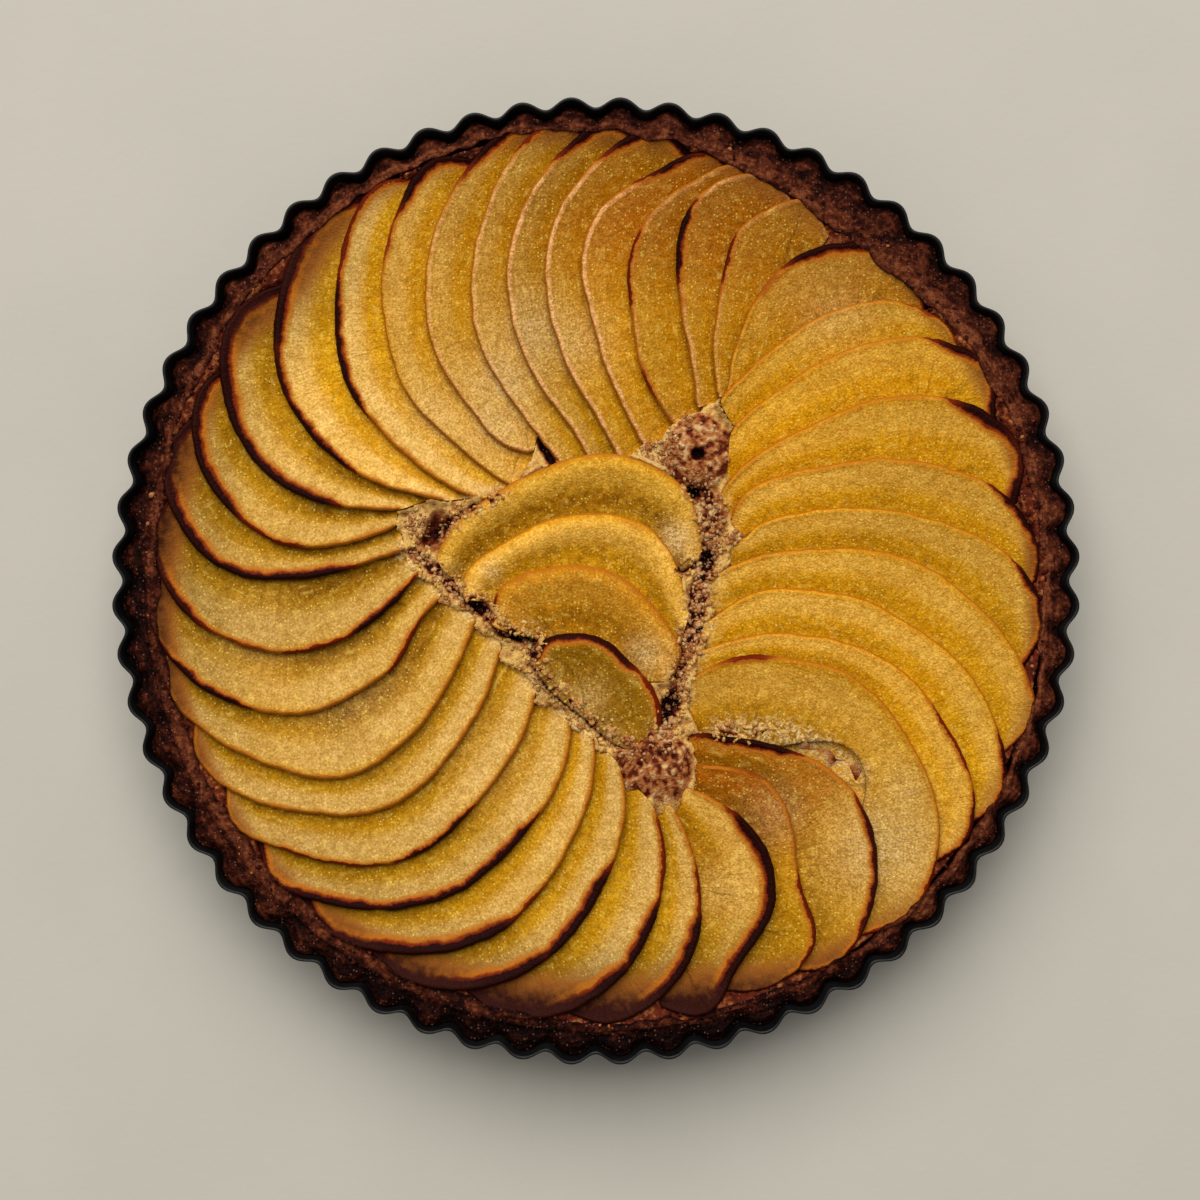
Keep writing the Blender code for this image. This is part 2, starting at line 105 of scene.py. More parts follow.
# How dark the outer ends of the slices are, and over what length they darken.
END_TOAST = (
    (0, 0.72), (20, 0.6), (35, 0.4), (47, 0.2), (60, 0.35), (90, 0.45), (120, 0.45), (135, 0.8), (150, 0.75),
    (165, 0.85), (185, 0.68), (200, 0.65), (215, 0.5), (228, 0.5), (240, 0.8), (260, 0.95), (285, 0.95),
    (300, 0.6), (315, 0.3), (345, 0.35),
)
END_REACH = (
    (0, 10), (105, 10), (120, 11), (135, 24), (150, 15), (165, 17), (185, 10), (225, 10), (240, 14),
    (255, 20), (270, 24), (285, 24), (300, 12), (345, 9),
)
# The share of light the slices lose towards their outer ends, and gain towards the middle, and
# the radii between which they do.
OUTER_SHADE = (
    (0, 0.02), (30, 0.08), (45, 0.17), (60, 0.15), (75, 0.08), (120, 0.08), (135, 0.38), (150, 0.2),
    (165, 0.28), (195, 0.28), (210, 0.08), (225, 0.15), (240, 0.25), (255, 0.36), (270, 0.45), (285, 0.45),
    (300, 0.25), (315, 0.08), (345, 0.1),
)
OUTER_SPAN = (98, 116)
INNER_LIGHT = (
    (0, 0.05), (15, 0.28), (30, 0.38), (45, 0.15), (60, 0), (200, 0), (225, 0.12), (255, 0.24), (270, 0.08),
    (280, 0), (345, 0),
)
INNER_SPAN = (95, 58)

# Filling: height of its open surface where it is plain, and the radii between which slices hide it.
FILL_TOP = 24.5
FILL_OPEN = 66.0
FILL_RIM = 104.0
FILL_ROOM = 0.2
# Its noises as (size, seed, layers), and that of its lap over the slices as (height, size, seed, layers).
FILL_CRUMB = (1.3, 21, 2)
FILL_LUMPS = (4.2, 23, 2)
FILL_GRIT = (0.8, 25, 2)
LAP = (0.6, 1.1, 43, 2)
# Places beside a point that are felt for a slice's edge, and how far below it the filling meets it.
BESIDE = tuple((0.9 * math.cos(turn * math.pi / 4), 0.9 * math.sin(turn * math.pi / 4)) for turn in range(8))
BESIDE_DROP = 0.35
# Baked mounds of it, as (x, y, reach across, reach along, rise): they lap over the slices' ends.
MOUNDS = ((30, 37, 10, 11, 3.6), (17, -53, 11, 11, 3.6), (33, 20, 5, 8, 1.6))
# Strips of open, pitted crumb between the slices, as (half width, points along the strip).
STRIPS = (
    (0.9, ((36.5, -43.8), (55, -44.2), (66, -48.5), (76, -56))),
    (2.7, ((29.5, 27), (33.2, 20.8), (33.6, 13.9), (32.4, 5.2), (29.6, -4.7), (28.8, -12.8), (26.4, -19.8))),
    (2.2, ((26.4, -19.8), (24.1, -25.6), (23, -32.6), (21.8, -37.2), (19.5, -45))),
    (1.9, ((-53, 8.1), (-45, 2.3), (-40.9, -3), (-33.3, -7.6), (-27.5, -13.4), (-18.2, -16.9))),
    (1.5, ((-17.7, -19.1), (-17.5, -25), (-12.4, -31.4), (-3.2, -38.9), (5, -46.5), (11, -50))),
    (1.0, ((-46, 14.4), (-38, 20.2), (-28.7, 24.3))),
    (1.3, ((26.4, 4.3), (31, 5))),
)
# How near a strip the slices begin to be crumbly.
CRUMBLY_REACH = 5.5
# Its holes and sunken places, as (x, y, reach across, reach along, turn, depth, darkness of painted shade).
HOLES = (
    (29.4, 36.9, 1.8, 1.8, 0, 4, 1.2), (28.3, 25.7, 2.1, 2.1, 0, 4, 1.2), (32.6, 6.6, 2.6, 3.2, 0, 4, 1.1),
    (24.6, 3.8, 2.4, 1.6, -20, 3, 1.1), (21.4, -36.3, 2.6, 4.4, -20, 4, 1.1),
    (-46.5, 14.4, 6.2, 3.8, 60, 4, 0.65), (-34, -7.8, 3.6, 2.4, 0, 2, 0.35),
    (-23, -16.2, 6, 1.3, -12, 2.5, 0.7), (-14.3, 37.5, 1.5, 6.5, 28, 4, 1.1),
    (62, -49.5, 4, 1.8, -30, 2.5, 0.6), (72.5, -55, 1.5, 6.5, 38, 3, 1.1),
)
# Where its crumb is pale, dried and piled up, as (x, y, reach, strength).
PALE_CRUMBS = (
    (33.8, 10.7, 3, 1), (41, 12.6, 3, 0.9), (27, 47.6, 3, 0.8), (18.7, 38.2, 7, 0.8), (63, -51, 7, 0.9),
    (-19, -31, 4, 0.7), (-6, -44, 4, 0.7), (27, -30, 3, 0.6), (-40, -2, 3, 0.6), (-10, 40, 4, 0.5),
    (-52, 17, 4, 0.8),
)
CRUMBS = 3200
CRUMB_SEED = 7
INNER_CRUMBS = 0.8
OUTER_CRUMBS = (121.0, 131.0)
CRUMB_SIZES = (0.25, 0.8)

# Apple slices, as in the solids.
CROWN = 28.2
CROWN_RADIUS = 95.0
CROWN_FALL = 0.0011
LIFT = 2.9
LIFT_FALL = 0.022
LIFT_RADIUS = 75.0
SLACK = 0.5
CAP_TURN = 5.5
CAP_DROP = 4.5
PHASE_ORDER = 5
PHASE_POWERS = 4
MIDDLE_TOP = 29.5
MIDDLE_SLOPE = 0.15
MIDDLE_EDGE = 36.0
MIDDLE_LIFT = 2.65

# Detail of a slice: stations from tip to tip, and points across it.
STATIONS = 168
ACROSS = 22
ACROSS_POWER = 1.6
TIP_WIDTH = 1.2
FINE_STEPS = 400
TURNING = 0.4
PEEL_BULGE = (0.2, 0.25, 0.175)
SIDE_RISE = (0.25, 0.55, 0.85)
# Points across its underside, as parts of the width, and the width felt where nothing covers it.
UNDER_SHARES = (1.0, 0.5, 0.12, 0.0)
OPEN_WIDTH = 30.0

# The peel edge as (reach, drop) of its rounding, the bead along it as (middle, half width,
# height), and the hollow of the face behind it as (depth, where it starts, where it is full).
LIP = {"ring": (0.8, 0.9), "middle": (2.6, 1.6)}
BEAD = {"ring": (0.75, 0.5, 0.3), "middle": (3.2, 0.9, 0.25)}
DISH = {"ring": (0.5, 1.4, 8.0), "middle": (1.2, 3.4, 9.0)}
RIM_REACH = {"ring": 1.9, "middle": 1.8}

# Where a face begins to darken towards the slice over it and where it is darkest, as parts of its width.
# A face's darkening towards the slice over it is painted shade, with some moisture.
MOIST_AND_SHADE_SPAN = {"ring": (0.45, 0.85), "middle": (0.34, 0.7)}
MOIST_AND_SHADE_EASE = 0.4

# A ring slice is given by the bearing and radius of its inner tip, the bearings at which its
# peel crosses CIRCLES (None inside the tip), and the bearing and radius of its outer end.
CIRCLES = (48, 60, 75, 92, 108, 120)
RING = (
    (4.5, 36, 8.9, 8.6, 7.2, 3.5, -2.6, -8, -18, 132.5),
    (16, 45, 18.3, 18.8, 16.3, 12.3, 7.5, 3.3, -7, 130),
    (24, 42.5, 29.4, 29.8, 26.5, 22.6, 17.3, 12.3, 1.5, 128.5),
    (35.5, 44, 37, 37.8, 36, 33.8, 29.8, 25, 16, 128.8),
    (48, 58, None, 48.1, 46.4, 44, 40, 35.6, 27.5, 129.5),
    (56, 63, None, None, 54, 51.4, 47.4, 42, 35, 126),
    (55.5, 67, None, None, 58.3, 60.4, 58.8, 54.5, 45, 130),
    (56.3, 64, None, None, 63, 66.8, 68, 64.5, 61.5, 125.5),
    (60, 58, None, 61, 69.5, 75.2, 76.3, 73.2, 66.5, 127),
    (60.5, 50, None, 76.3, 81.7, 84, 81.3, 76, 69, 130),
    (71.5, 41.5, 78.5, 86.8, 90.7, 92.6, 89, 81.8, 75, 128.7),
    (78, 35, 90.3, 97, 99.5, 99.1, 95.6, 90.5, 82.5, 132),
    (92, 33, 101, 106.5, 107.9, 106.3, 101.8, 96.8, 88, 133),
    (105.5, 32.5, 112.5, 115.6, 116.2, 113.2, 108, 103.4, 95, 132.7),
    (116, 41, 124.4, 126, 126, 122.2, 116.2, 110.2, 98.5, 134),
    (131.5, 36, 135.2, 136, 135.6, 130.8, 124.9, 119, 110.5, 131),
    (144, 39, 146.9, 147.1, 145.3, 141.7, 134.3, 127.8, 118, 131),
    (152.5, 50, None, 155, 156, 153, 147.8, 140.5, 124, 133),
    (160.3, 60.5, None, None, 163.6, 163.5, 159.4, 153.8, 142, 130),
    (165, 60, None, None, 172, 173.2, 169, 163.4, 153.5, 127),
    (170.8, 55.5, None, 172.8, 178, 179.8, 178.1, 173.2, 162.5, 130),
    (177.5, 51.5, None, 187.3, 193, 193.1, 189, 184, 171, 128),
    (187.5, 46, 188.8, 201.3, 205.1, 204.5, 199.7, 194, 179, 130),
    (200, 37, 212.5, 218.4, 220.2, 218, 209.7, 202, 192, 128),
    (217.5, 35, 227.4, 229.7, 230, 226.5, 218.2, 211, 203, 126),
    (243, 38, 244.8, 244, 241.4, 237.8, 229.6, 220, 213.5, 126),
    (260, 42, 261, 259.2, 254.5, 248.9, 240.8, 231.6, 221.5, 127),
    (269.4, 46, 269.6, 269, 265, 259.7, 253.2, 244, 230, 127.5),
    (277.8, 56, None, 278, 275.4, 270.2, 263.8, 256.3, 241, 127.5),
    (284.7, 69, None, None, 284.8, 282, 276.8, 270.3, 257, 128.5),
    (289.3, 71, None, None, 289.6, 289, 285.8, 280.3, 270, 128),
    (295.5, 67, None, None, 300, 302.5, 298.2, 289.7, 284, 129.5),
    (300.5, 62, None, None, 310.4, 308.2, 303.6, 302, 291, 127.5),
    (301.5, 52, None, 311, 319, 321, 317.8, 312.6, 301, 130.5),
    (316, 39.5, 333, 338, 339.8, 336.3, 330.7, 325.5, 311.5, 132.5),
    (327, 37, 340.8, 345, 346, 343.7, 338.2, 333.5, 324.5, 131),
    (341, 35, 356.7, 357.6, 356.4, 352, 347.2, 342, 331, 133),
)
# One slice shows the hollow where its core was cut out: (radius, bearing) along that side.
CORED_SLICE = 35
CORED_SIDE = (
    (118, 309), (104, 317), (96, 324.5), (87, 326.5), (79, 324), (69, 315), (57, 305.5), (47, 305.5),
)

# The inner end of every other ring slice is blunt: it runs from the tip to a heel tucked under
# the tip of the slice before it. One slice keeps a pointed end, with a gap beside it.
HEEL_TUCK = 1.2
HEEL_TURN = 2
HEEL_ROUND = 5
TIP_ROUND = 2.6
POINTED_SLICE = 15

# The inner ends of these slices swell this far towards the middle of the tart.
END_SWELL = 2.4
SWOLLEN_ENDS = (1, 2, *range(22, 35), 36, 37)

# The middle slices, from the one underneath to the one on top: points (x, y) along the peel
# from the left tip to the right tip, and those of the cut side back again.
MIDDLE = (
    (
        ((-46.5, 8), (-39.5, 17.5), (-28, 26), (-10.5, 34.3), (5.5, 36.4), (18.5, 32), (27.3, 24), (30.9, 9)),
        ((27, 4), (10, 2), (-10, 0), (-35, -2), (-43.5, 2)),
    ),
    (
        ((-39, -5.5), (-38.4, 0.5), (-28, 10.2), (-14.7, 17), (0, 19.3), (14, 16.2), (22.8, 6), (27, -9)),
        ((24, -17), (8, -16), (-8, -12), (-27, -6.5)),
    ),
    (
        (
            (-31, -12.4), (-27.5, -2.5), (-14.7, 3.4), (2.6, 3.2), (12.7, -3.2), (20.5, -12.5), (24.2, -20),
            (22, -29),
        ),
        ((12, -29), (0, -24), (-12, -17.5), (-23, -15.5)),
    ),
    (
        (
            (-17.8, -24.5), (-16, -18.5), (-7, -15.4), (3.5, -17.8), (10, -23.6), (16.5, -31), (18.8, -40),
            (15, -49.5),
        ),
        ((6, -47.5), (-1.7, -41), (-9.5, -34.8), (-15, -29)),
    ),
)

# Where the peel is burnt: (from, to, width, depth of burn) along each slice's peel. On a ring
# slice the first two are radii, and on a middle slice hundredths of the way from its left tip.
RING_BURNS = {
    1: ((126, 134, 1.6, 0.6),), 2: ((121, 132, 2, 1),), 3: ((118, 130, 2.2, 1),), 4: ((116, 130, 4.2, 1),),
    5: ((120, 131, 3, 1),), 6: ((120, 127, 1.6, 0.7),), 7: ((107, 131, 3, 1), (92, 107, 1.6, 0.5)),
    8: ((92, 110, 1.1, 0.75),), 9: ((90, 113, 2, 1), (82, 90, 1.2, 0.5)),
    10: ((78, 104, 1.1, 0.75), (55, 63, 1.5, 0.7)), 11: ((117, 130, 2.4, 0.95),),
    12: ((124, 134, 3.4, 1), (115, 119, 1.2, 0.6)), 13: ((124, 136, 3.4, 1),), 14: ((127, 134, 2, 0.85),),
    15: ((125, 137, 3.4, 1), (119, 127, 1.6, 0.6)), 16: ((121, 136, 3.2, 1), (109, 122, 1.2, 0.6)),
    17: ((83, 116, 2, 1), (114, 136, 1.8, 0.75), (74, 84, 1.2, 0.5)),
    18: ((113, 138, 4, 1), (100, 118, 2.2, 0.9), (77, 105, 2, 1)), 19: ((78, 120, 3, 1), (112, 136, 4.2, 1)),
    20: ((104, 134, 3.4, 1), (84, 109, 1.4, 0.7)),
    21: ((71, 116, 2.6, 1), (110, 136, 3.6, 1), (64, 72, 1.3, 0.55)),
    22: ((113, 129, 3, 0.9), (94, 114, 1.3, 0.55), (72, 95, 1.2, 0.7), (53, 73, 2, 1)),
    23: ((107, 128, 2, 1), (50, 67, 1.4, 0.7)), 25: ((119, 126, 1.2, 0.5),),
    26: ((99, 124, 1, 0.62), (74, 100, 1.6, 0.9)), 27: ((71, 116, 2.7, 1), (112, 128, 3.2, 1)),
    28: ((100, 130, 4.2, 1), (88, 101, 1.5, 0.65)), 29: ((83, 112, 3.6, 1), (108, 131, 4.4, 1)),
    30: ((94, 114, 3.3, 1), (110, 131, 4.3, 1), (69, 96, 1.5, 0.7)),
    31: ((100, 130, 3.6, 1), (86, 101, 1.5, 0.7)), 32: ((77, 131, 3.8, 1),),
    33: ((102, 128, 1.6, 0.75), (65, 78, 1.6, 0.55)), 34: ((98, 131, 2.1, 0.88), (53, 77, 2.6, 1)),
    35: ((43, 56, 2, 0.7), (127, 134, 2, 0.8)), 36: ((126, 133, 2, 1), (102, 124, 1.1, 0.7)),
    37: ((125, 134, 2, 1),),
}
MIDDLE_BURNS = {
    2: ((62, 74, 3.5, 0.22),), 3: ((0, 14, 1.6, 0.75),), 4: ((2, 62, 2.4, 0.9), (62, 100, 1.8, 0.7)),
}
BURN_FADE = 7.0

# Looks of the slices round the ring, as (slice, value) with even change between: how pale and creamy
# the flesh is near its peel, partly painted light; how amber-brown it is; how deep the painted shade and
# moist darkening get beside the slice that covers it; and how light all of it is.
CREAM_AND_LIGHT = (
    (1, 0.35), (3, 0.35), (5, 0.2), (6, 0.25), (8, 0.1), (12, 0.1), (13, 0.3), (16, 0.5), (17, 1), (20, 0.8),
    (23, 0.75), (25, 0.95), (30, 1), (31, 0.8), (32, 0.5), (33, 0), (34, 0.05), (35, 0.3), (37, 0.4),
)
AMBER = (
    (1, 0.05), (6, 0.2), (7, 0.55), (9, 0.85), (11, 0.9), (12, 0.7), (13, 0.5), (16, 0.25), (17, 0), (31, 0),
    (32, 0.2), (33, 1), (34, 0.8), (35, 0.15), (37, 0),
)
MOIST_AND_SHADE = (
    (1, 0.5), (5, 0.4), (6, 0.15), (8, 0.2), (9, 0), (16, 0), (17, 0.15), (18, 0.3), (19, 1), (24, 1),
    (25, 0.5), (27, 0.4), (28, 0.2), (31, 0.25), (32, 0.8), (34, 1), (35, 0.6), (37, 0.5),
)
TONE = (
    (1, 0.95), (2, 0.81), (3, 0.85), (4, 0.94), (5, 1.06), (6, 0.96), (7, 0.86), (8, 0.82), (9, 0.8),
    (10, 0.8), (11, 0.9), (12, 0.8), (13, 0.69), (14, 0.76), (15, 0.8), (16, 0.86), (18, 1), (19, 0.84),
    (20, 0.75), (21, 0.69), (22, 0.65), (23, 0.75), (26, 0.68), (27, 0.65), (28, 0.76), (29, 0.74),
    (31, 0.82), (32, 0.9), (34, 0.86), (35, 0.82), (36, 1.02), (37, 1),
)
# Slices that are amber towards the middle of the tart, those with little painted shade and moisture
# further out, and those that are less crumbly.
INNER_AMBER = range(31, 38)
OUTER_OPEN = (*range(1, 8), *range(35, 38))
LESS_CRUMBLY = range(31, 35)
# Looks of the middle slices: cream with painted light, amber, painted shade with moisture, olive and tone.
MIDDLE_LOOKS = (
    (0.25, 0, 1, 0.05, 0.93),
    (0.4, 0, 0.7, 0, 1.06),
    (0.1, 0.5, 0.9, 0.05, 1),
    (0, 0.1, 0, 0.76, 1),
)

# How toasted each slice's peel edge is all along, from -1 for a pale dry bead to 1 for deep
# orange; a ring slice that isn't named has PLAIN_RIM.
PLAIN_RIM = 0.68
RING_RIMS = {
    1: 0.45, 2: 0.3, 3: 0.5, 4: 0.5, 5: 0.5, 6: 0.45, 7: 0.3, 8: -0.3, 9: -0.6, 10: -0.3, 11: -0.9,
    12: -0.9, 13: -0.8, 14: -0.6, 15: -0.5, 16: -0.1, 35: 0.5, 36: 0.35, 37: 0.35,
}
MIDDLE_RIMS = {1: 0.45, 2: 0.25, 3: 0.6, 4: 0.8}

# Pale, starchy patches on the slices: (bearing, radius, reach, strength).
PALE_PATCHES = (
    (48, 104, 11, 0.3), (317, 113, 15, 0.9), (325, 108, 8, 0.5), (292, 97, 8, 0.4), (308, 86, 9, 0.3),
    (96, 70, 10, 0.55), (104, 74, 12, 0.75), (115, 64, 11, 0.8), (122, 55, 11, 0.7), (133, 66, 12, 0.45),
    (207, 78, 15, 0.25), (190, 100, 12, 0.3), (240, 60, 14, 0.2), (28, 26.8, 4.5, 1), (268, 33.1, 4.5, 0.35),
    (305, 25.5, 5, 0.7), (174, 30.5, 3, 0.6),
)

# Relief, as noises of (height, size, seed, layers): of a slice's peel line, sideways, and of its
# face. A middle slice's seeds are put off by MIDDLE_SEED. CRUMBLY is on the face beside a strip.
PEEL_WAVES = ((0.3, 5.0, 200, 2), (0.16, 1.3, 230, 2))
FACE_WAVES = ((0.22, 11.0, 0, 1), (0.12, 3.2, 90, 2))
MIDDLE_SEED = 60
CRUMBLY = (0.35, 0.9, 41, 2)
NOISE_CELLS = 128
NOISE_SHIFT = (57.3, 41.7)

# The window light: its bearing and its angle above the floor, how many metres away it is, its
# width in metres and its power; then the even light of the room and the reach of the floor in metres.
WINDOW_FROM = (100.0, 55.0)
WINDOW_AWAY = 3.0
WINDOW_WIDTH = 2.8
WINDOW_POWER = 132.0
WINDOW_COLOUR = (1.0, 0.99, 0.97)
ROOM_LIGHT = 0.307
FLOOR_REACH = 2.5

# Camera above the tart, and how far the tart's middle lies from the middle of its view.
VIEW_WIDTH = 346.5 * UNIT
VIEW_SHIFT = (1.2 * UNIT, -5.5 * UNIT)
CAMERA_HEIGHT = 640.0
SENSOR = 36.0


# ---------------------------------------------------------------- shapes in plan


def polar(radius, bearing):
    angle = math.radians(bearing)
    return np.array([radius * math.cos(angle), radius * math.sin(angle)])


def bearing_of(points):
    return np.degrees(np.arctan2(points[:, 1], points[:, 0]))


def distances(points, start=(0, 0)):
    return np.linalg.norm(points - np.asarray(start), axis=1)


def path_length(points):
    """How far along a line of points each of them lies."""
    return np.concatenate([[0], np.cumsum(distances(np.diff(points, axis=0)))])


def spline(points, count):
    """Points spaced along a natural cubic through the given ones, closer where it turns."""
    points = np.asarray(points, float)
    knots = path_length(points)
    steps = np.diff(knots)
    rise = np.diff(points, axis=0) / steps[:, None]
    system = np.eye(len(points))
    wanted = np.zeros_like(points)
    wanted[1:-1] = 6 * np.diff(rise, axis=0)
    for i in range(1, len(points) - 1):
        system[i, i - 1 : i + 2] = steps[i - 1], 2 * (steps[i - 1] + steps[i]), steps[i]
    bends = np.linalg.solve(system, wanted)
    fine = np.linspace(0, knots[-1], FINE_STEPS)
    part = np.clip(np.searchsorted(knots, fine) - 1, 0, len(steps) - 1)
    step = steps[part][:, None]
    after = (fine - knots[part])[:, None] / step
    before = 1 - after
    curve = before * points[part] + after * points[part + 1]
    curve += ((before**3 - before) * bends[part] + (after**3 - after) * bends[part + 1]) * step**2 / 6
    return respace(curve, count, TURNING)


def respace(curve, count, turning=0):
    """Picks points along a fine curve, evenly by its length and, in this part, by its turning."""
    length = path_length(curve)
    heading = np.unwrap(np.radians(bearing_of(np.diff(curve, axis=0))))
    turned = np.concatenate([[0, 0], np.cumsum(np.abs(np.diff(heading)))])
    pace = length / length[-1] + turning * turned / max(turned[-1], 1e-6)
    wanted = np.linspace(0, pace[-1], count + 1)
    return np.stack([np.interp(wanted, pace, axis) for axis in curve.T], axis=1)


def crossings(row):
    """(radius, bearing) along a ring slice's peel, from its inner tip to its outer end."""
    passed = [(r, b) for r, b in zip(CIRCLES, row[2:8]) if b is not None]
    return [(row[1], row[0]), *passed, (row[9], row[8])]


def bend(start, corner, end, part):
    """Places at these parts of a curve that turns from start to end short of a corner."""
    return start * (1 - part) ** 2 + corner * 2 * part * (1 - part) + end * part**2


def rounded(start, corner, end, swell=0):
    """A fine line from start to end by way of a corner, which is rounded off.

    Before the corner it swells this far towards the middle of the tart.
    """
    part = np.linspace(0, 1, 100)[:, None]
    sides = (start - corner, end - corner)
    enter, leave = (corner + side * min(HEEL_ROUND / np.linalg.norm(side), 0.5) for side in sides)
    middle = (start + enter) / 2
    inward = -4 * swell * part * (1 - part) * middle / np.linalg.norm(middle)
    straight = start * (1 - part) + enter * part
    turn = bend(enter, corner, leave, part)[1:-1]
    return np.concatenate([straight + inward, turn, leave * (1 - part) + end * part])


def cut_side(number, tip, outer_tip):
    """A fine line along a ring slice's cut side, from its inner tip to its outer tip."""
    if number == CORED_SLICE:
        return spline([tip, *(polar(r, b) for r, b in CORED_SIDE[::-1]), outer_tip], FINE_STEPS)
    before = RING[number - 2]
    heel = polar(before[1] + HEEL_TUCK, before[0] - HEEL_TURN)
    if number == POINTED_SLICE:
        heel = (tip + outer_tip) / 2
    return rounded(tip, heel, outer_tip, END_SWELL if number in SWOLLEN_ENDS else 0)


def round_tip(peel, cut):
    """Both sides of a slice again, parted half way along a rounded corner at its inner tip."""
    tip = peel[0]
    near = distances(cut, tip)
    widest = near[len(cut) // 20 : len(peel) // 5].max()
    leave = int(np.argmax(distances(peel, tip) > TIP_ROUND))
    enter = int(np.argmax(near > min(TIP_ROUND, widest / 2)))
    corner = bend(cut[enter], tip, peel[leave], np.linspace(0, 1, 40)[:, None])
    half = len(corner) // 2
    peel = np.concatenate([corner[half:], peel[leave + 1 :]])
    return peel, np.concatenate([corner[half::-1], cut[enter + 1 :]])


def outline(peel, cut):
    """The peel side and the cut side of a slice in mm, both from its inner or left tip on."""
    peel, cut = round_tip(peel, cut)
    return respace(peel, STATIONS, TURNING) * UNIT, respace(cut, STATIONS) * UNIT


def ring_outline(number):
    row = RING[number - 1]
    tip = polar(row[1], row[0])
    outer_tip = polar(row[9] - CAP_DROP, row[8] - CAP_TURN)
    peel = spline([polar(r, b) for r, b in crossings(row)] + [outer_tip], FINE_STEPS)
    return outline(peel, cut_side(number, tip, outer_tip))


def middle_outline(number):
    peel, cut = MIDDLE[number - 1]
    return outline(spline(peel, FINE_STEPS), spline([peel[0], *cut[::-1], peel[-1]], FINE_STEPS))


def phase_terms(radius, bearing):
    """Terms of a smooth surface over the ring: powers of the radius times waves round it."""
    away = (np.asarray(radius) - 85.0) / 50.0
    turn = np.radians(bearing)
    terms = []
    for power in range(PHASE_POWERS):
        for wave in range(PHASE_ORDER + 1):
            terms.append(away**power * np.cos(wave * turn))
            if wave:
                terms.append(away**power * np.sin(wave * turn))
    return np.stack(terms, axis=-1)


def fit_phase():
    """The surface that passes each slice's number on that slice's peel, less an even turn."""
    found = [(n, r, b) for n, row in enumerate(RING, 1) for r, b in crossings(row)]
    number, radius, bearing = np.array(found).T
    wanted = number - bearing * len(RING) / 360.0
    return np.linalg.lstsq(phase_terms(radius, bearing), wanted, rcond=None)[0]


PHASE = fit_phase()
OUTLINES = {("ring", n): ring_outline(n) for n in range(1, len(RING) + 1)}
OUTLINES.update({("middle", n): middle_outline(n) for n in range(1, len(MIDDLE) + 1)})


def below_peel(number, points):
    """How many slices down a point of a slice lies from its peel, along the slope of the ring."""
    radius = np.clip(distances(points) / UNIT, 32, 134)
    bearing = bearing_of(points)
    phase = phase_terms(radius, bearing) @ PHASE + bearing * len(RING) / 360.0
    half = len(RING) / 2
    return (number - phase + half) % len(RING) - half


def ring_heights(number, points):
    """Top and underside of a ring slice at plan points."""
    radius = distances(points) / UNIT
    lift = LIFT - LIFT_FALL * np.clip(LIFT_RADIUS - radius, 0, None)
    top = CROWN - CROWN_FALL * (radius - CROWN_RADIUS) ** 2 - lift * below_peel(number, points)
    return top, top - (lift - SLACK)


def middle_heights(number, points):
    fall = MIDDLE_SLOPE * (MIDDLE_EDGE * UNIT - points[:, 1])
    top = MIDDLE_TOP - fall + (number - 1) * MIDDLE_LIFT
    return top, top - (MIDDLE_LIFT - SLACK)


# ---------------------------------------------------------------- numbers that vary


def smooth(value, low, high):
    """0 at low, 1 at high and soft at both ends; low may be above high."""
    part = np.clip((np.asarray(value, float) - low) / (high - low), 0, 1)
    return part * part * (3 - 2 * part)


def patchy(x, y, size, seed, layers=1):
    """Lattice noise between -1 and 1, with features of about this size."""
    total = np.zeros(np.shape(x))
    for layer in range(layers):
        table = np.random.default_rng(seed * 31 + layer).uniform(-1, 1, (NOISE_CELLS, NOISE_CELLS))
        u, v = (np.asarray(place) / size * 2**layer + shift for place, shift in zip((x, y), NOISE_SHIFT))
        i, j = np.floor(u).astype(int), np.floor(v).astype(int)
        a, b = smooth(u - i, 0, 1), smooth(v - j, 0, 1)
        left, right = i % NOISE_CELLS, (i + 1) % NOISE_CELLS
        lower, upper = j % NOISE_CELLS, (j + 1) % NOISE_CELLS
        near, far = (table[left, row] * (1 - a) + table[right, row] * a for row in (lower, upper))
        total = total + (near * (1 - b) + far * b) * 0.5**layer
    return total / (2 - 0.5 ** (layers - 1))


def waves(x, y, noises, seed=0):
    """The sum of noises given as (height, size, seed, layers)."""
    return sum(height * patchy(x, y, size, seed + own, layers) for height, size, own, layers in noises)


def round_the_rim(bearing, stops):
    """The value at each bearing of something given at a few of them."""
    return np.interp(bearing, *zip(*stops), period=360)


def nearest_on(line, points):
    """Distance of each point from a line of points, and how far along the line, from 0 to 1."""
    start = line[:-1]
    ahead = line[1:] - start
    square = np.maximum((ahead**2).sum(axis=1), 1e-9)
    offset = points[:, None, :] - start[None]
    share = np.clip((offset * ahead[None]).sum(axis=2) / square[None], 0, 1)
    gap = np.linalg.norm(offset - share[..., None] * ahead[None], axis=2)
    best = gap.argmin(axis=1)
    rows = np.arange(len(points))
    return gap[rows, best], (best + share[rows, best]) / len(start)


def from_strips(points, edge):
    """The most that any strip of open crumb gives at points, by a function of distance and half width."""
    return np.max([edge(nearest_on(np.array(line, float), points)[0], half) for half, line in STRIPS], axis=0)


def near_strip(points):
    """1 beside a strip of open crumb, falling to 0 at the reach of its crumbliness."""
    return from_strips(points / UNIT, lambda away, half: smooth(away - half, CRUMBLY_REACH, 0.0))


def in_strip(points):
    """1 in the middle of a strip of open crumb and 0 away from all of them."""
    return from_strips(points / UNIT, lambda away, half: smooth(away / half, 1.15, 0.7))


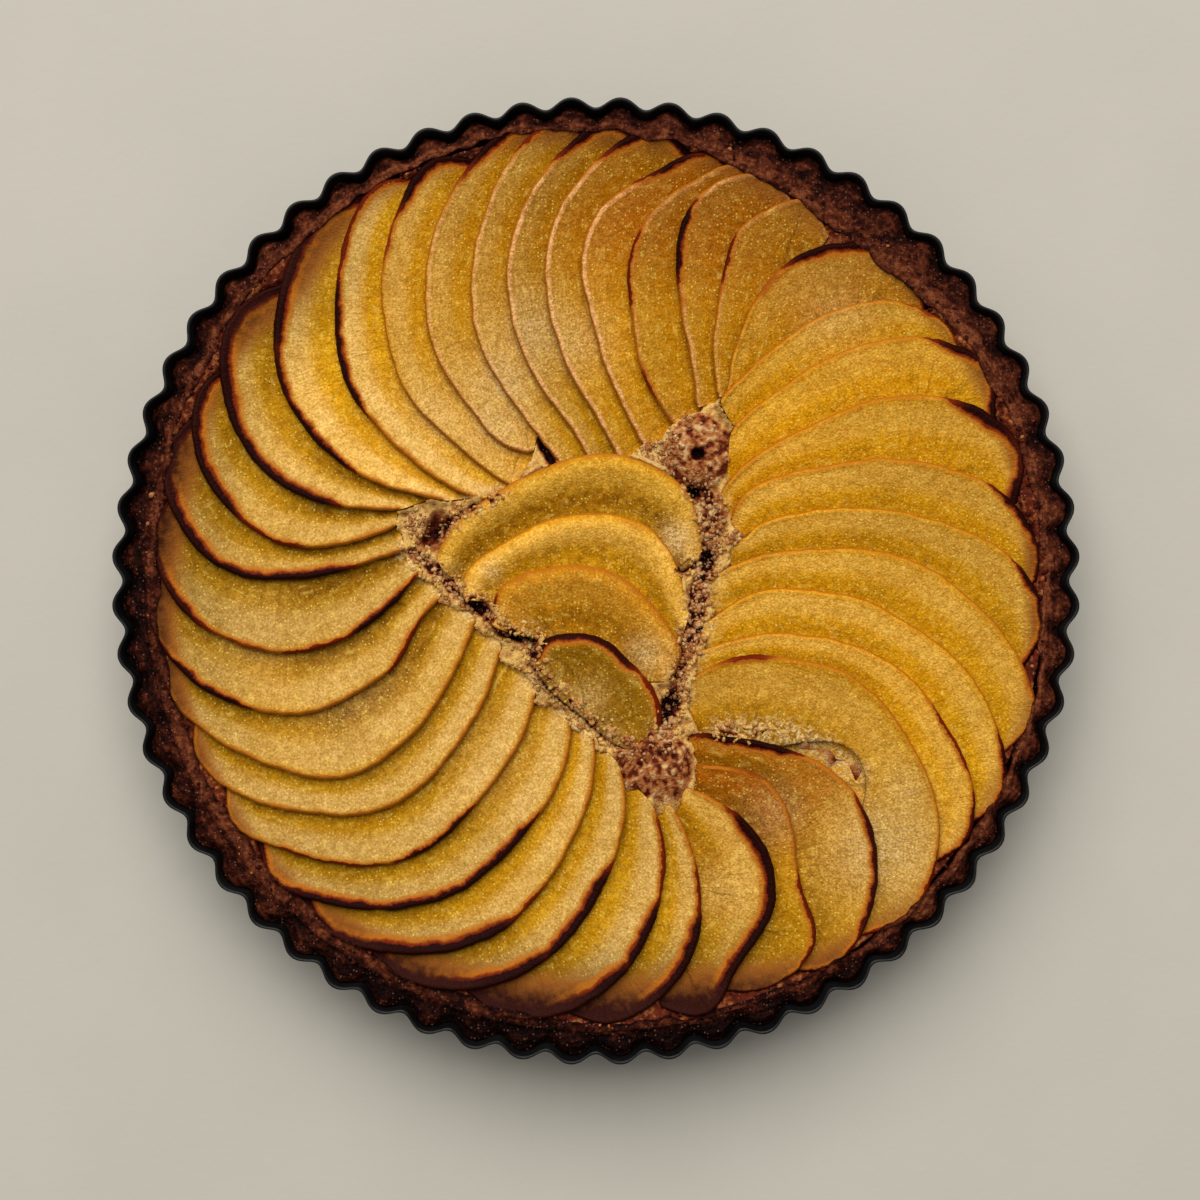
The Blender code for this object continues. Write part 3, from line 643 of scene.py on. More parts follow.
def within(x, y, centre_x, centre_y, reach_x, reach_y, turn=0.0):
    """Distance from a place counted in its reaches, one of which may lie at this turn."""
    angle = math.radians(turn)
    right = np.asarray(x) / UNIT - centre_x
    up = np.asarray(y) / UNIT - centre_y
    along = right * math.cos(angle) + up * math.sin(angle)
    aside = up * math.cos(angle) - right * math.sin(angle)
    return np.hypot(along / reach_x, aside / reach_y)


# ---------------------------------------------------------------- meshes


def link_object(name, data):
    made = bpy.data.objects.new(name, data)
    bpy.context.scene.collection.objects.link(made)
    return made


def add_piece(name, points, faces, slot, nodes=(), layers=None):
    """A smooth-shaded piece from points in mm, which stands for the named CAD nodes."""
    mesh = bpy.data.meshes.new(name)
    mesh.from_pydata([tuple(p) for p in np.asarray(points) * MM], [], faces)
    mesh.update()
    mesh.polygons.foreach_set("use_smooth", [True] * len(mesh.polygons))
    for layer, values in (layers or {}).items():
        store = mesh.attributes.new(layer, "FLOAT", "POINT")
        store.data.foreach_set("value", np.full(len(points), values, np.float32))
    piece = link_object(name, mesh)
    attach(piece, "root")
    if nodes:
        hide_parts(*nodes)
    mesh.materials.append(MATERIALS[slot])


def bearings(count):
    return np.arange(count) * 360.0 / count


def ring(count, radius, height):
    """A closed ring of points; radius and height may be numbers or one value for each point."""
    turn = np.radians(bearings(count))
    return np.stack([radius * np.cos(turn), radius * np.sin(turn), np.broadcast_to(height, count)], axis=1)


def band(lower, upper, lower_count, upper_count):
    """Faces between two rings that start at these indices, whose counts may differ."""
    if lower_count == upper_count:
        index = np.arange(lower_count)
        after = (index + 1) % lower_count
        return np.stack([lower + index, lower + after, upper + after, upper + index], axis=1).tolist()
    faces = []
    low = high = 0
    while low < lower_count or high < upper_count:
        a = lower + low % lower_count
        b = upper + high % upper_count
        behind = (low + 0.5) * upper_count <= (high + 0.5) * lower_count
        if high >= upper_count or (low < lower_count and behind):
            low += 1
            faces.append((a, lower + low % lower_count, b))
        else:
            high += 1
            faces.append((a, upper + high % upper_count, b))
    return faces


def revolve(rings, bottom, top):
    """A solid from rings in order up its outside and down its inside, closed at two middles."""
    points = np.concatenate([*rings, [[0, 0, bottom], [0, 0, top]]])
    counts = [len(r) for r in rings]
    starts = np.cumsum([0] + counts).tolist()
    faces = []
    for i in range(len(rings) - 1):
        faces += band(starts[i], starts[i + 1], counts[i], counts[i + 1])
    first, last, middle = counts[0], counts[-1], starts[-1]
    faces += [((i + 1) % first, i, middle) for i in range(first)]
    faces += [(middle - last + i, middle - last + (i + 1) % last, middle + 1) for i in range(last)]
    return points, faces


def flute(bearing):
    """0 in the hollow of a flute and 1 on its crest, with crests a little broader than hollows."""
    turn = np.radians((bearing - FLUTE_START) * FLUTES)
    return 0.5 + 0.5 * np.cos(turn) + FLUTE_PEAK * (1 - np.cos(2 * turn))


def tin_wall(bearing, height, inset):
    """Radius of the tin's wall at a height, set in from its outside."""
    taper = TIN_TAPER * (1 - height / TIN_HEIGHT)
    return TIN_RADIUS - taper - FLUTE_DEPTH * (1 - flute(bearing)) - inset


def build_tin():
    bearing = bearings(FLUTES * FLUTE_STEPS)
    corner = np.linspace(0, math.pi / 2, 5)
    profile = [(TIN_CORNER * (1 - math.sin(a)), TIN_CORNER * (1 - math.cos(a))) for a in corner]
    profile += [(0.0, TIN_HEIGHT * part) for part in (0.3, 0.6, 0.9)]
    half = TIN_SHEET / 2
    for a in np.linspace(0, math.pi, 9):
        profile.append((half - half * math.cos(a), TIN_HEIGHT - half + half * math.sin(a)))
    profile += [(TIN_SHEET, TIN_HEIGHT * part) for part in (0.85, 0.5)]
    profile += [(TIN_SHEET, TIN_SHEET + 0.5), (TIN_SHEET + 0.6, TIN_SHEET)]
    rings = [ring(len(bearing), tin_wall(bearing, height, inset), height) for inset, height in profile]
    add_piece("fluted_tin", *revolve(rings, 0, TIN_SHEET), "tin", ["tin"])


def burnt(place, table):
    """The width and depth of the burn at each place along a peel."""
    width = np.zeros(len(place))
    depth = np.zeros(len(place))
    for start, end, reach, level in table:
        window = smooth(place, start - BURN_FADE, start + BURN_FADE)
        window = window * smooth(place, end + BURN_FADE, end - BURN_FADE)
        width = np.maximum(width, reach * window)
        depth = np.maximum(depth, level * np.sqrt(window))
    return width, depth


def slice_sections(peel, cut):
    """Plan points of the cross-sections: those on the face, the underside and the peel's side."""
    width = distances(peel - cut)
    lean = (cut - peel) / np.maximum(width, 1e-6)[:, None]
    lean[0], lean[-1] = lean[1], lean[-2]
    grow = np.clip(TIP_WIDTH - width, 0, None)[:, None] / 2
    peel = (peel - lean * grow)[:, None]
    cut = (cut + lean * grow)[:, None]
    face = ((np.arange(ACROSS + 1) / ACROSS) ** ACROSS_POWER)[:, None]
    below = np.array(UNDER_SHARES)[:, None]
    side = peel - lean[:, None] * np.array(PEEL_BULGE)[:, None]
    return peel * (1 - face) + cut * face, peel * (1 - below) + cut * below, side


def face_relief(edge, kind):
    """How far the top of a slice rises or falls, by the distance from its peel in mm."""
    reach, drop = LIP[kind]
    middle, half, rise = BEAD[kind]
    hollow, start, full = DISH[kind]
    lip = np.clip(1 - edge / reach, 0, 1)
    relief = rise * np.exp(-(((edge - middle) / half) ** 2)) - drop * (1 - np.sqrt(1 - lip**2))
    return relief - hollow * smooth(edge, start, full) * (1 - 0.7 * smooth(edge, full + 3, full + 12))


def uneven_peel(peel, seed):
    """The peel line with the wavy and nicked edge that a baked slice has."""
    normal = np.gradient(peel, axis=0)[:, ::-1] * (1, -1)
    normal /= np.maximum(distances(normal), 1e-6)[:, None]
    place = np.arange(len(peel))
    fade = smooth(place, 0, 6) * smooth(place, len(peel) - 1, len(peel) - 7)
    return peel + normal * (waves(*peel.T, PEEL_WAVES, seed) * fade)[:, None]


def ring_tones(number, radius, bearing):
    """Cream with painted light, amber, painted shade with moisture, olive, tone and end browning of a ring
    slice.
    """
    lit_cream, amber, moist_shade, tone = (np.interp(number, *zip(*stops)) for stops in (CREAM_AND_LIGHT, AMBER, MOIST_AND_SHADE, TONE))
    inward, outward = 1 - 0.8 * smooth(radius, 84, 104), 0.4 + 0.6 * smooth(radius, 75, 105)
    amber = amber * (inward if number in INNER_AMBER else outward)
    moist_shade = moist_shade * (1 - 0.55 * smooth(radius, 82, 95))
    moist_shade = moist_shade * (1 - (0.55 if number in OUTER_OPEN else 0.1) * smooth(radius, 96, 112))
    tone = tone * (1 - round_the_rim(bearing, OUTER_SHADE) * smooth(radius, *OUTER_SPAN))
    tone = tone * (1 + round_the_rim(bearing, INNER_LIGHT) * smooth(radius, *INNER_SPAN))
    past_lip = radius - round_the_rim(bearing, CRUST_LIP)
    reached = smooth(past_lip / round_the_rim(bearing, END_REACH), -1.0, 0.05)
    return lit_cream, amber, moist_shade, 0.0, tone, reached**1.2 * round_the_rim(bearing, END_TOAST)


def slice_looks(kind, number, points, edge, along, cover):
    """The attributes from which the apple material takes the tone of each place on a slice."""
    peel = OUTLINES[kind, number][0]
    away = nearest_on(cover, points)[0] if cover is not None else OPEN_WIDTH
    across = edge / np.maximum(edge + away, 1e-3)
    if kind == "ring":
        tones = ring_tones(number, distances(points) / UNIT, bearing_of(points))
        rim = RING_RIMS.get(number, PLAIN_RIM)
        place = np.interp(along, np.linspace(0, 1, STATIONS + 1), distances(peel) / UNIT)
        width, depth = burnt(place, RING_BURNS.get(number, ()))
        crumbly = 0.5 if number in LESS_CRUMBLY else 1.0
    else:
        tones = (*MIDDLE_LOOKS[number - 1], 0.0)
        rim = MIDDLE_RIMS[number]
        width, depth = burnt(along * 100, MIDDLE_BURNS.get(number, ()))
        crumbly = 0.3
    lit_cream, amber, moist_shade, olive, tone, ended = tones
    pale = 0.0
    for turn, at, reach, strength in PALE_PATCHES:
        gap = distances(points, polar(at, turn) * UNIT) / (reach * UNIT)
        pale = np.maximum(pale, strength * np.exp(-(gap**2)))
    # Painted shade with moisture beside the covering slice, eased close to it where the real shadow falls.
    moist_and_shaded = smooth(across, *MOIST_AND_SHADE_SPAN[kind]) * (1 - MOIST_AND_SHADE_EASE * smooth(across, 0.8, 0.97))
    return {
        "edge": edge,
        "along": along * path_length(peel)[-1] + number * 97.0,
        # Paler cream flesh near the peel, partly painted light.
        "cream_and_lit": lit_cream * smooth(across, 0.0, 0.18) * (1 - smooth(across, 0.4, 0.7)),
        "amber": amber,
        "moist_and_shaded": moist_shade * moist_and_shaded,
        "olive": olive,
        "tone": tone,
        "ended": ended,
        "crumbly": crumbly * near_strip(points),
        "burn_width": width,
        "burn_depth": depth,
        "pale": pale,
        "rim": rim,
        "reach": RIM_REACH[kind],
    }


def build_slice(name, node, kind, number, cover):
    """One slice of baked apple with its rounded peel edge, dished face and burnt places."""
    heights = ring_heights if kind == "ring" else middle_heights
    peel, cut = OUTLINES[kind, number]
    seed = number + (0 if kind == "ring" else MIDDLE_SEED)
    line = uneven_peel(peel, seed)
    top, under, side = slice_sections(line, cut)
    face = top.reshape(-1, 2)
    surface = heights(number, face)[0] + face_relief(nearest_on(line, face)[0], kind)
    surface = surface + waves(*face.T, FACE_WAVES, seed)
    surface = surface + near_strip(face) * np.abs(waves(*face.T, [CRUMBLY]))
    rows = surface.reshape(len(peel), -1)
    underside = heights(number, under.reshape(-1, 2))[1].reshape(len(peel), -1)
    rise = np.array(SIDE_RISE)
    side_height = underside[:, -1:] * (1 - rise) + rows[:, :1] * rise
    middle_cut = (rows[:, -1:] + underside[:, :1]) / 2
    plan = np.concatenate([top, cut[:, None], under, side], axis=1)
    height = np.concatenate([rows, middle_cut, underside, side_height], axis=1)
    loop = plan.shape[1]
    last = (len(peel) - 1) * loop
    points = np.concatenate([plan, height[..., None]], axis=2).reshape(-1, 3)
    faces = []
    for start in range(0, last, loop):
        faces += band(start, start + loop, loop, loop)
    faces += [list(range(loop))[::-1], list(range(last, last + loop))]
    if np.sum(np.linalg.det(points[np.array([f[:3] for f in faces[:-2]])])) < 0:
        faces = [f[::-1] for f in faces]
    edge, along = nearest_on(line, points[:, :2])
    edge = np.where(np.arange(len(points)) % loop >= loop - len(SIDE_RISE), 0, edge)
    layers = slice_looks(kind, number, points[:, :2], edge, along, cover)
    add_piece(name, points, faces, "apple", [node], layers)
    return points, faces


def build_slices():
    """All the slices, and a search tree of their surfaces."""
    jobs = []
    for n in range(1, len(RING) + 1):
        jobs.append((f"baked_slice_{n:02d}", f"apple_slice_{n:02d}", "ring", n, n - 1 or len(RING)))
    for n in range(1, len(MIDDLE) + 1):
        jobs.append((f"baked_middle_{n}", f"middle_slice_{n}", "middle", n, n + 1))
    points, faces = [], []
    for *job, over in jobs:
        corners, sides = build_slice(*job, OUTLINES.get((job[2], over), [None])[0])
        faces += (np.array(sides[:-2]) + len(points)).tolist()
        points += corners.tolist()
    return BVHTree.FromPolygons(points, faces)


def seen_from_above(slices, x, y):
    """Height of the topmost slice at a place, or None where there is none."""
    hit = slices.ray_cast(Vector((x, y, 60.0)), Vector((0, 0, -1)))[0]
    return hit.z if hit is not None else None


def settle(points, slices, clear, bind, lap):
    """Fits the filling's top to the slices.

    Under a slice a point keeps below it, unless it may stand clear above it or laps over it by a
    height above 0. Beside a slice it rises to the slice's edge as far as it is bound to it.
    """
    for point, free, bound, over in zip(points, clear, bind, lap):
        top = seen_from_above(slices, point[0], point[1])
        if top is None and bound > 0:
            beside = [seen_from_above(slices, point[0] + a, point[1] + b) for a, b in BESIDE]
            reach = max([z for z in beside if z is not None], default=0) - BESIDE_DROP
            point[2] += max(0, reach - point[2]) * bound
        if top is None or (free and point[2] > top):
            continue
        if over > 0:
            point[2] = top + over
            continue
        above = slices.ray_cast(Vector((point[0], point[1], 0.0)), Vector((0, 0, 1)))[0]
        point[2] = min(point[2], above.z - FILL_ROOM)


def build_pastry(slices):
    """The pastry case, whose crust follows the tin's flutes and laps over the ends of the slices."""
    coarse, fine = bearings(FLUTES * 6), bearings(CRUST_STEPS)
    foot = TIN_SHEET + GAP
    levels = (foot, CRUST_TOP - 5)
    rings = [ring(len(coarse), tin_wall(coarse, height, CASE_INSET), height) for height in levels]
    shades = [np.full(len(coarse), HIDDEN_SHADE)] * 2
    wall = tin_wall(fine, CRUST_TOP - 1.5, CASE_INSET)
    lip = round_the_rim(fine, CRUST_LIP) * UNIT + waves(fine * 2.0, np.zeros(CRUST_STEPS), [LIP_RAGGED])
    valley = 1 - flute(fine)
    for row in np.linspace(1, 0, CRUST_ROWS):
        radius = lip + (wall - lip) * row
        x, y = ring(CRUST_STEPS, radius, 0)[:, :2].T
        crag, grit = patchy(x, y, *CRAG), patchy(x, y, *GRIT)
        fibre = patchy(fine * STREAKS / 360, radius / 0.8, *STREAK)
        height = CRUST_TOP - 0.5 - round_the_rim(fine, CRUST_SINKS) * smooth(row, 0.7, 1.0)
        height = height + 0.5 * smooth(row, 0.6, 0.2) - 0.9 * valley * smooth(row, 0.35, 0.85)
        height = height + 0.65 * crag + 0.15 * fibre + 0.3 * grit
        level = ring(CRUST_STEPS, radius, np.minimum(height, TIN_HEIGHT - 0.3))
        filled = np.where(np.hypot(x, y) < CRUST_INNER, fill_surface(x, y)[0] + 0.2, 0)
        for point, over, fill in zip(level, height, filled):
            top = seen_from_above(slices, point[0], point[1])
            if top is not None or fill > 0:
                point[2] = max(over, fill, (top or 0) + LIP_COVER)
        rings.append(level)
        # Painted light along the crust's inner ridge, and painted shade in the flutes' hollows and at the tin
        # wall.
        lit_ridge = smooth(row, 0.0, 0.12) * smooth(row, 0.5, 0.25)
        shade = round_the_rim(fine, CRUST_DARKNESS) + 0.2 - 0.35 * lit_ridge
        shade = shade + 0.3 * valley * smooth(row, 0.35, 0.95)
        shade = shade - 0.4 * crag - 0.2 * fibre - 0.35 * grit + 0.25 * smooth(row, 0.9, 1.0)
        shades.append(np.clip(shade, 0, 1))
    inner = ((CRUST_INNER, CRUST_KNEE), (CRUST_FOOT, foot + BASE_THICK))
    rings += [rings[-1] - (0, 0, 1.2)] + [ring(HIDDEN_STEPS, *place) for place in inner]
    shades += [np.full(CRUST_STEPS, 0.9), np.full(2 * HIDDEN_STEPS + 2, HIDDEN_SHADE)]
    solid = revolve(rings, foot, foot + BASE_THICK)
    add_piece("baked_pastry_case", *solid, "pastry", ["pastry_case"], {"shade": np.concatenate(shades)})


def pale_crumb(x, y):
    pale = np.zeros(np.shape(x))
    for *middle, reach, strength in PALE_CRUMBS:
        pale = np.maximum(pale, strength * smooth(within(x, y, *middle, reach, reach), 1.25, 0.6))
    return pale


def on_mound(x, y):
    return np.any([within(x, y, *mound[:4]) < 1.1 for mound in MOUNDS], axis=0)


def fill_surface(x, y):
    """Height of the open surface of the filling, its shade of brown and how golden it is."""
    radius = np.hypot(x, y) / UNIT
    outer = smooth(radius, 100, 118)
    crumb, lumps, grit = (patchy(x, y, *noise) for noise in (FILL_CRUMB, FILL_LUMPS, FILL_GRIT))
    pale = pale_crumb(x, y)
    strip = in_strip(np.stack([x, y], axis=1))
    height = FILL_TOP + 1.9 * smooth(radius, 116, 130) + 0.4 * pale - strip
    height = height + 0.5 * lumps + 0.45 * crumb + 0.35 * grit
    shade = 0.08 + 0.54 * outer - 0.25 * crumb - 0.2 * grit - 0.3 * pale
    shade = shade + strip * (0.45 - 0.8 * crumb - 0.3 * grit)
    gold = (1 - outer) * (1 - strip) * (1 - 0.6 * pale)
    for *place, rise in MOUNDS:
        dome = np.sqrt(np.clip(1 - (within(x, y, *place) + 0.16 * lumps) ** 2, 0, 1))
        browned = smooth(dome, 0.0, 0.3) * min(rise / 3, 1)
        height = height + rise * dome + 0.25 * grit * browned
        shade = shade + (0.42 - 0.45 * crumb - 0.45 * grit - shade) * browned
        gold = gold * (1 - browned)
    # Holes sink, and take painted shade.
    for *place, depth, dark in HOLES:
        sunk = smooth(within(x, y, *place) + 0.15 * crumb, 1.25, 0.5)
        height = height - depth * sunk
        shade = shade + dark * sunk
        gold = gold * (1 - sunk)
    return height, np.clip(shade, 0, 1), gold


def build_filling(slices):
    """The almond filling, finely built where it shows and plainly where the slices hide it."""
    foot = TIN_SHEET + GAP + BASE_THICK + GAP
    room = GAP + 0.1
    radius = CRUST_INNER - room
    rings = [ring(HIDDEN_STEPS, CRUST_FOOT - room, foot), ring(HIDDEN_STEPS, radius, CRUST_KNEE)]
    while radius > 0.5:
        hidden = FILL_OPEN * UNIT < radius < FILL_RIM * UNIT
        step = 2.4 if hidden else 0.6 if radius < FILL_OPEN * UNIT else 0.75
        rings.append(ring(max(10, int(2 * math.pi * radius / (step * 1.15))), radius, FILL_TOP))
        radius -= step
    points, faces = revolve(rings, foot, FILL_TOP)
    first = 2 * HIDDEN_STEPS
    x, y = points[first:, :2].T
    height, shade, gold = fill_surface(x, y)
    points[first:, 2] = height
    shade[-2], gold[-2] = 0.5, 0.0
    near = near_strip(points[first:, :2])
    lap = (waves(x, y, [LAP]) - 0.45 + 0.55 * near) * (near > 0.3)
    settle(points[first:], slices, on_mound(x, y), smooth(gold, 0.1, 0.5), lap)
    points[-2, 2] = foot
    layers = {"shade": np.append(np.full(first, 0.5), shade), "gold": np.append(np.zeros(first), gold)}
    add_piece("almond_filling", points, faces, "almond_filling", ["frangipane"], layers)


def icosahedron():
    golden = (1 + math.sqrt(5)) / 2
    corners = []
    for a in (-1, 1):
        for b in (-golden, golden):
            corners += [(0, a, b), (a, b, 0), (b, 0, a)]
    corners = np.array(corners, float) / math.hypot(1, golden)
    gap = np.linalg.norm(corners[:, None] - corners[None], axis=2)
    side = gap[gap > 0].min() * 1.01
    faces = []
    for i, j, k in itertools.combinations(range(12), 3):
        if max(gap[i, j], gap[j, k], gap[i, k]) < side:
            faces.append([i, j, k] if np.linalg.det(corners[[i, j, k]]) > 0 else [i, k, j])
    return corners, np.array(faces)


def crumb_places(draw, slices):
    """Where crumbs lie, as (x, y, z, shade, gold): on the open filling and a little over its edges."""
    count = CRUMBS * 12
    inner = draw.random(count) < INNER_CRUMBS
    radius = np.where(inner, FILL_OPEN * np.sqrt(draw.random(count)), draw.uniform(*OUTER_CRUMBS, count))
    turn = np.radians(draw.random(count) * 360)
    x, y = radius * np.cos(turn) * UNIT, radius * np.sin(turn) * UNIT
    plan = np.stack([x, y], axis=1)
    ground, shade, gold = fill_surface(x, y)
    near = near_strip(plan)
    pale = pale_crumb(x, y)
    keep, tint = draw.random((2, count))
    likely = np.where(inner, 0.01 + 0.35 * near**2 + 0.35 * in_strip(plan) + 0.7 * pale, 0.12)
    places = []
    for i in np.flatnonzero(keep < likely):
        top = seen_from_above(slices, x[i], y[i])
        over = top is not None and (top > ground[i] or not on_mound(x[i], y[i]))
        if over and (not inner[i] or near[i] < 0.7 or tint[i] > 0.3 + 0.4 * pale[i]):
            continue
        if not inner[i]:
            tone = 0.3 if tint[i] < 0.12 else 0.85
        else:
            tone = 0.1 + 0.3 * tint[i] if over or tint[i] < 0.45 + 0.5 * pale[i] else shade[i]
        places.append((x[i], y[i], top if over else ground[i], tone, 1.0 if over else gold[i]))
    return places[:CRUMBS]


def build_crumbs(slices):
    draw = np.random.default_rng(CRUMB_SEED)
    corners, sides = icosahedron()
    points, faces, looks = [], [], []
    for x, y, z, shade, gold in crumb_places(draw, slices):
        size = draw.uniform(*CRUMB_SIZES) * draw.uniform(0.6, 1.4, 3)
        turned = corners @ np.linalg.qr(draw.normal(size=(3, 3)))[0]
        jagged = turned * draw.uniform(0.65, 1.2, (12, 1)) * size
        turning = np.linalg.det(turned[sides[0]]) > 0
        faces.append((sides if turning else sides[:, ::-1]) + len(points) * 12)
        points.append(jagged + (x, y, z + 0.3 * size[2]))
        looks += [(shade, gold)] * 12
    layers = dict(zip(("shade", "gold"), np.array(looks).T))
    sides = np.concatenate(faces).tolist()
    add_piece("almond_crumbs", np.concatenate(points), sides, "almond_filling", (), layers)


# ---------------------------------------------------------------- materials


class Net:
    """Adds nodes to one shader tree. A value is a number, a colour or another node's output."""

    def __init__(self, tree):
        self.tree = tree

    def give(self, socket, value):
        if isinstance(value, bpy.types.NodeSocket):
            self.tree.links.new(value, socket)
        else:
            socket.default_value = (*value, 1.0) if isinstance(value, tuple) else value

    def add(self, kind, values=None, **settings):
        """The outputs of a new node with these values at its inputs."""
        node = self.tree.nodes.new(kind)
        for key, value in settings.items():
            setattr(node, key, value)
        for key, value in (values or {}).items():
            self.give(node.inputs[key], value)
        return node.outputs

    def math(self, operation, first, *others, **settings):
        for other in others:
            first = self.add("ShaderNodeMath", {0: first, 1: other}, operation=operation, **settings)[0]
        return first

    def times(self, *values):
        return self.math("MULTIPLY", *values)

    def plus(self, *values):
        return self.math("ADD", *values)

    def span(self, value, low, high, out_low=0.0, out_high=1.0):
        """The value mapped smoothly between two limits."""
        limits = {"Value": value, "From Min": low, "From Max": high, "To Min": out_low, "To Max": out_high}
        return self.add("ShaderNodeMapRange", limits, interpolation_type="SMOOTHSTEP")["Result"]

    def mix(self, factor, first, second, blend="MIX"):
        values = {0: factor, 6: first, 7: second}
        return self.add("ShaderNodeMix", values, data_type="RGBA", blend_type=blend)[2]

    def place(self):
        return self.add("ShaderNodeTexCoord")["Object"]

    def noise(self, size, detail=2.0, rough=0.5, place=None):
        """Noise with features of this size in mm, at the object's own places if not at others."""
        given = isinstance(size, bpy.types.NodeSocket)
        scale = self.math("DIVIDE", 1 / MM, size) if given else 1 / (size * MM)
        place = self.place() if place is None else place
        values = {"Vector": place, "Scale": scale, "Detail": detail, "Roughness": rough}
        return self.add("ShaderNodeTexNoise", values)["Fac"]

    def flat_noise(self, x, y, size, detail, rough):
        """Noise with features of this size in mm, at two lengths in mm."""
        return self.noise(size / MM, detail, rough, self.add("ShaderNodeCombineXYZ", {"X": x, "Y": y})[0])

    def layer(self, name):
        return self.add("ShaderNodeAttribute", attribute_name=name)["Fac"]

    def group(self, name, **values):
        return self.add("ShaderNodeGroup", values, node_tree=bpy.data.node_groups[name])[0]


def mottle(net, size, low, high):
    """Noise stretched between two limits: Size in mm, Low and High are where it is 0 and 1."""
    return net.span(net.noise(size, 3.0, 0.55), low, high)


def grain(net, size):
    """Fine grain for a surface, as a bump height between 0 and about 1.6."""
    return net.plus(net.times(net.noise(net.times(size, 3.0)), 0.6), net.noise(size, 2.0, 0.6))


def flecks(net, spacing, size, share):
    """Small round flecks: Spacing and Size in mm, and Share, the part of them that is there."""
    scale = net.math("DIVIDE", 1 / MM, spacing)
    cells = net.add("ShaderNodeTexVoronoi", {"Vector": net.place(), "Scale": scale})
    reach = net.math("DIVIDE", net.times(size, 0.5), spacing)
    spot = net.span(cells["Distance"], reach, net.times(reach, 0.45))
    chosen = net.add("ShaderNodeSeparateColor", {"Color": cells["Color"]})[0]
    return net.times(spot, net.math("LESS_THAN", chosen, share))


def toasting(net, raw, toasted, browned, burnt, amount):
    """Colour of food as it browns, from raw at 0 through orange and dark red to black at 1."""
    colour = net.mix(net.span(amount, 0.0, 0.38), raw, toasted)
    colour = net.mix(net.span(amount, 0.36, 0.66), colour, browned)
    return net.mix(net.span(amount, 0.62, 0.95), colour, burnt)


def peel_burn(net, edge, width, depth, rim, reach):
    """How far a place near the peel is toasted, from its distance to the peel's edge in mm."""
    for size, swing in ((3.5, 1.6), (0.8, 0.7)):
        edge = net.plus(edge, net.times(net.plus(net.noise(size, 1.0), -0.5), swing))
    core = net.span(edge, net.times(width, 0.82), net.times(width, 0.45))
    inner = net.span(edge, net.plus(width, 0.7), net.times(width, 0.6))
    halo = net.span(edge, net.plus(width, 1.1), width)
    return net.math(
        "MAXIMUM",
        net.times(core, depth, net.span(width, 0.2, 0.9)),
        net.times(inner, depth, 0.64),
        net.times(halo, depth, 0.24),
        net.times(net.span(edge, reach, 0.1), rim, 0.5),
    )


# The node groups, by the function that fills each, its inputs and its output.
BLACK = (0.0, 0.0, 0.0)
GROUPS = (
    (mottle, {"Size": 2.0, "Low": 0.3, "High": 0.7}, "Value"),
    (grain, {"Size": 0.5}, "Height"),
    (flecks, {"Spacing": 1.0, "Size": 0.6, "Share": 0.3}, "Value"),
    (toasting, {"Raw": BLACK, "Toasted": BLACK, "Browned": BLACK, "Burnt": BLACK, "Amount": 0.0}, "Color"),
    (peel_burn, {"Edge": 5.0, "Width": 0.0, "Depth": 0.0, "Rim": 0.5, "Reach": 1.8}, "Amount"),
)


def make_group(fill, inputs, output):
    group = bpy.data.node_groups.new(fill.__name__, "ShaderNodeTree")
    for label, value in inputs.items():
        kind = "NodeSocketColor" if isinstance(value, tuple) else "NodeSocketFloat"
        made = group.interface.new_socket(name=label, in_out="INPUT", socket_type=kind)
        made.default_value = (*value, 1.0) if isinstance(value, tuple) else value
    kind = "NodeSocketColor" if output == "Color" else "NodeSocketFloat"
    group.interface.new_socket(name=output, in_out="OUTPUT", socket_type=kind)
    given = group.nodes.new("NodeGroupInput").outputs
    result = group.nodes.new("NodeGroupOutput").inputs[0]
    group.links.new(fill(Net(group), *(given[label] for label in inputs)), result)


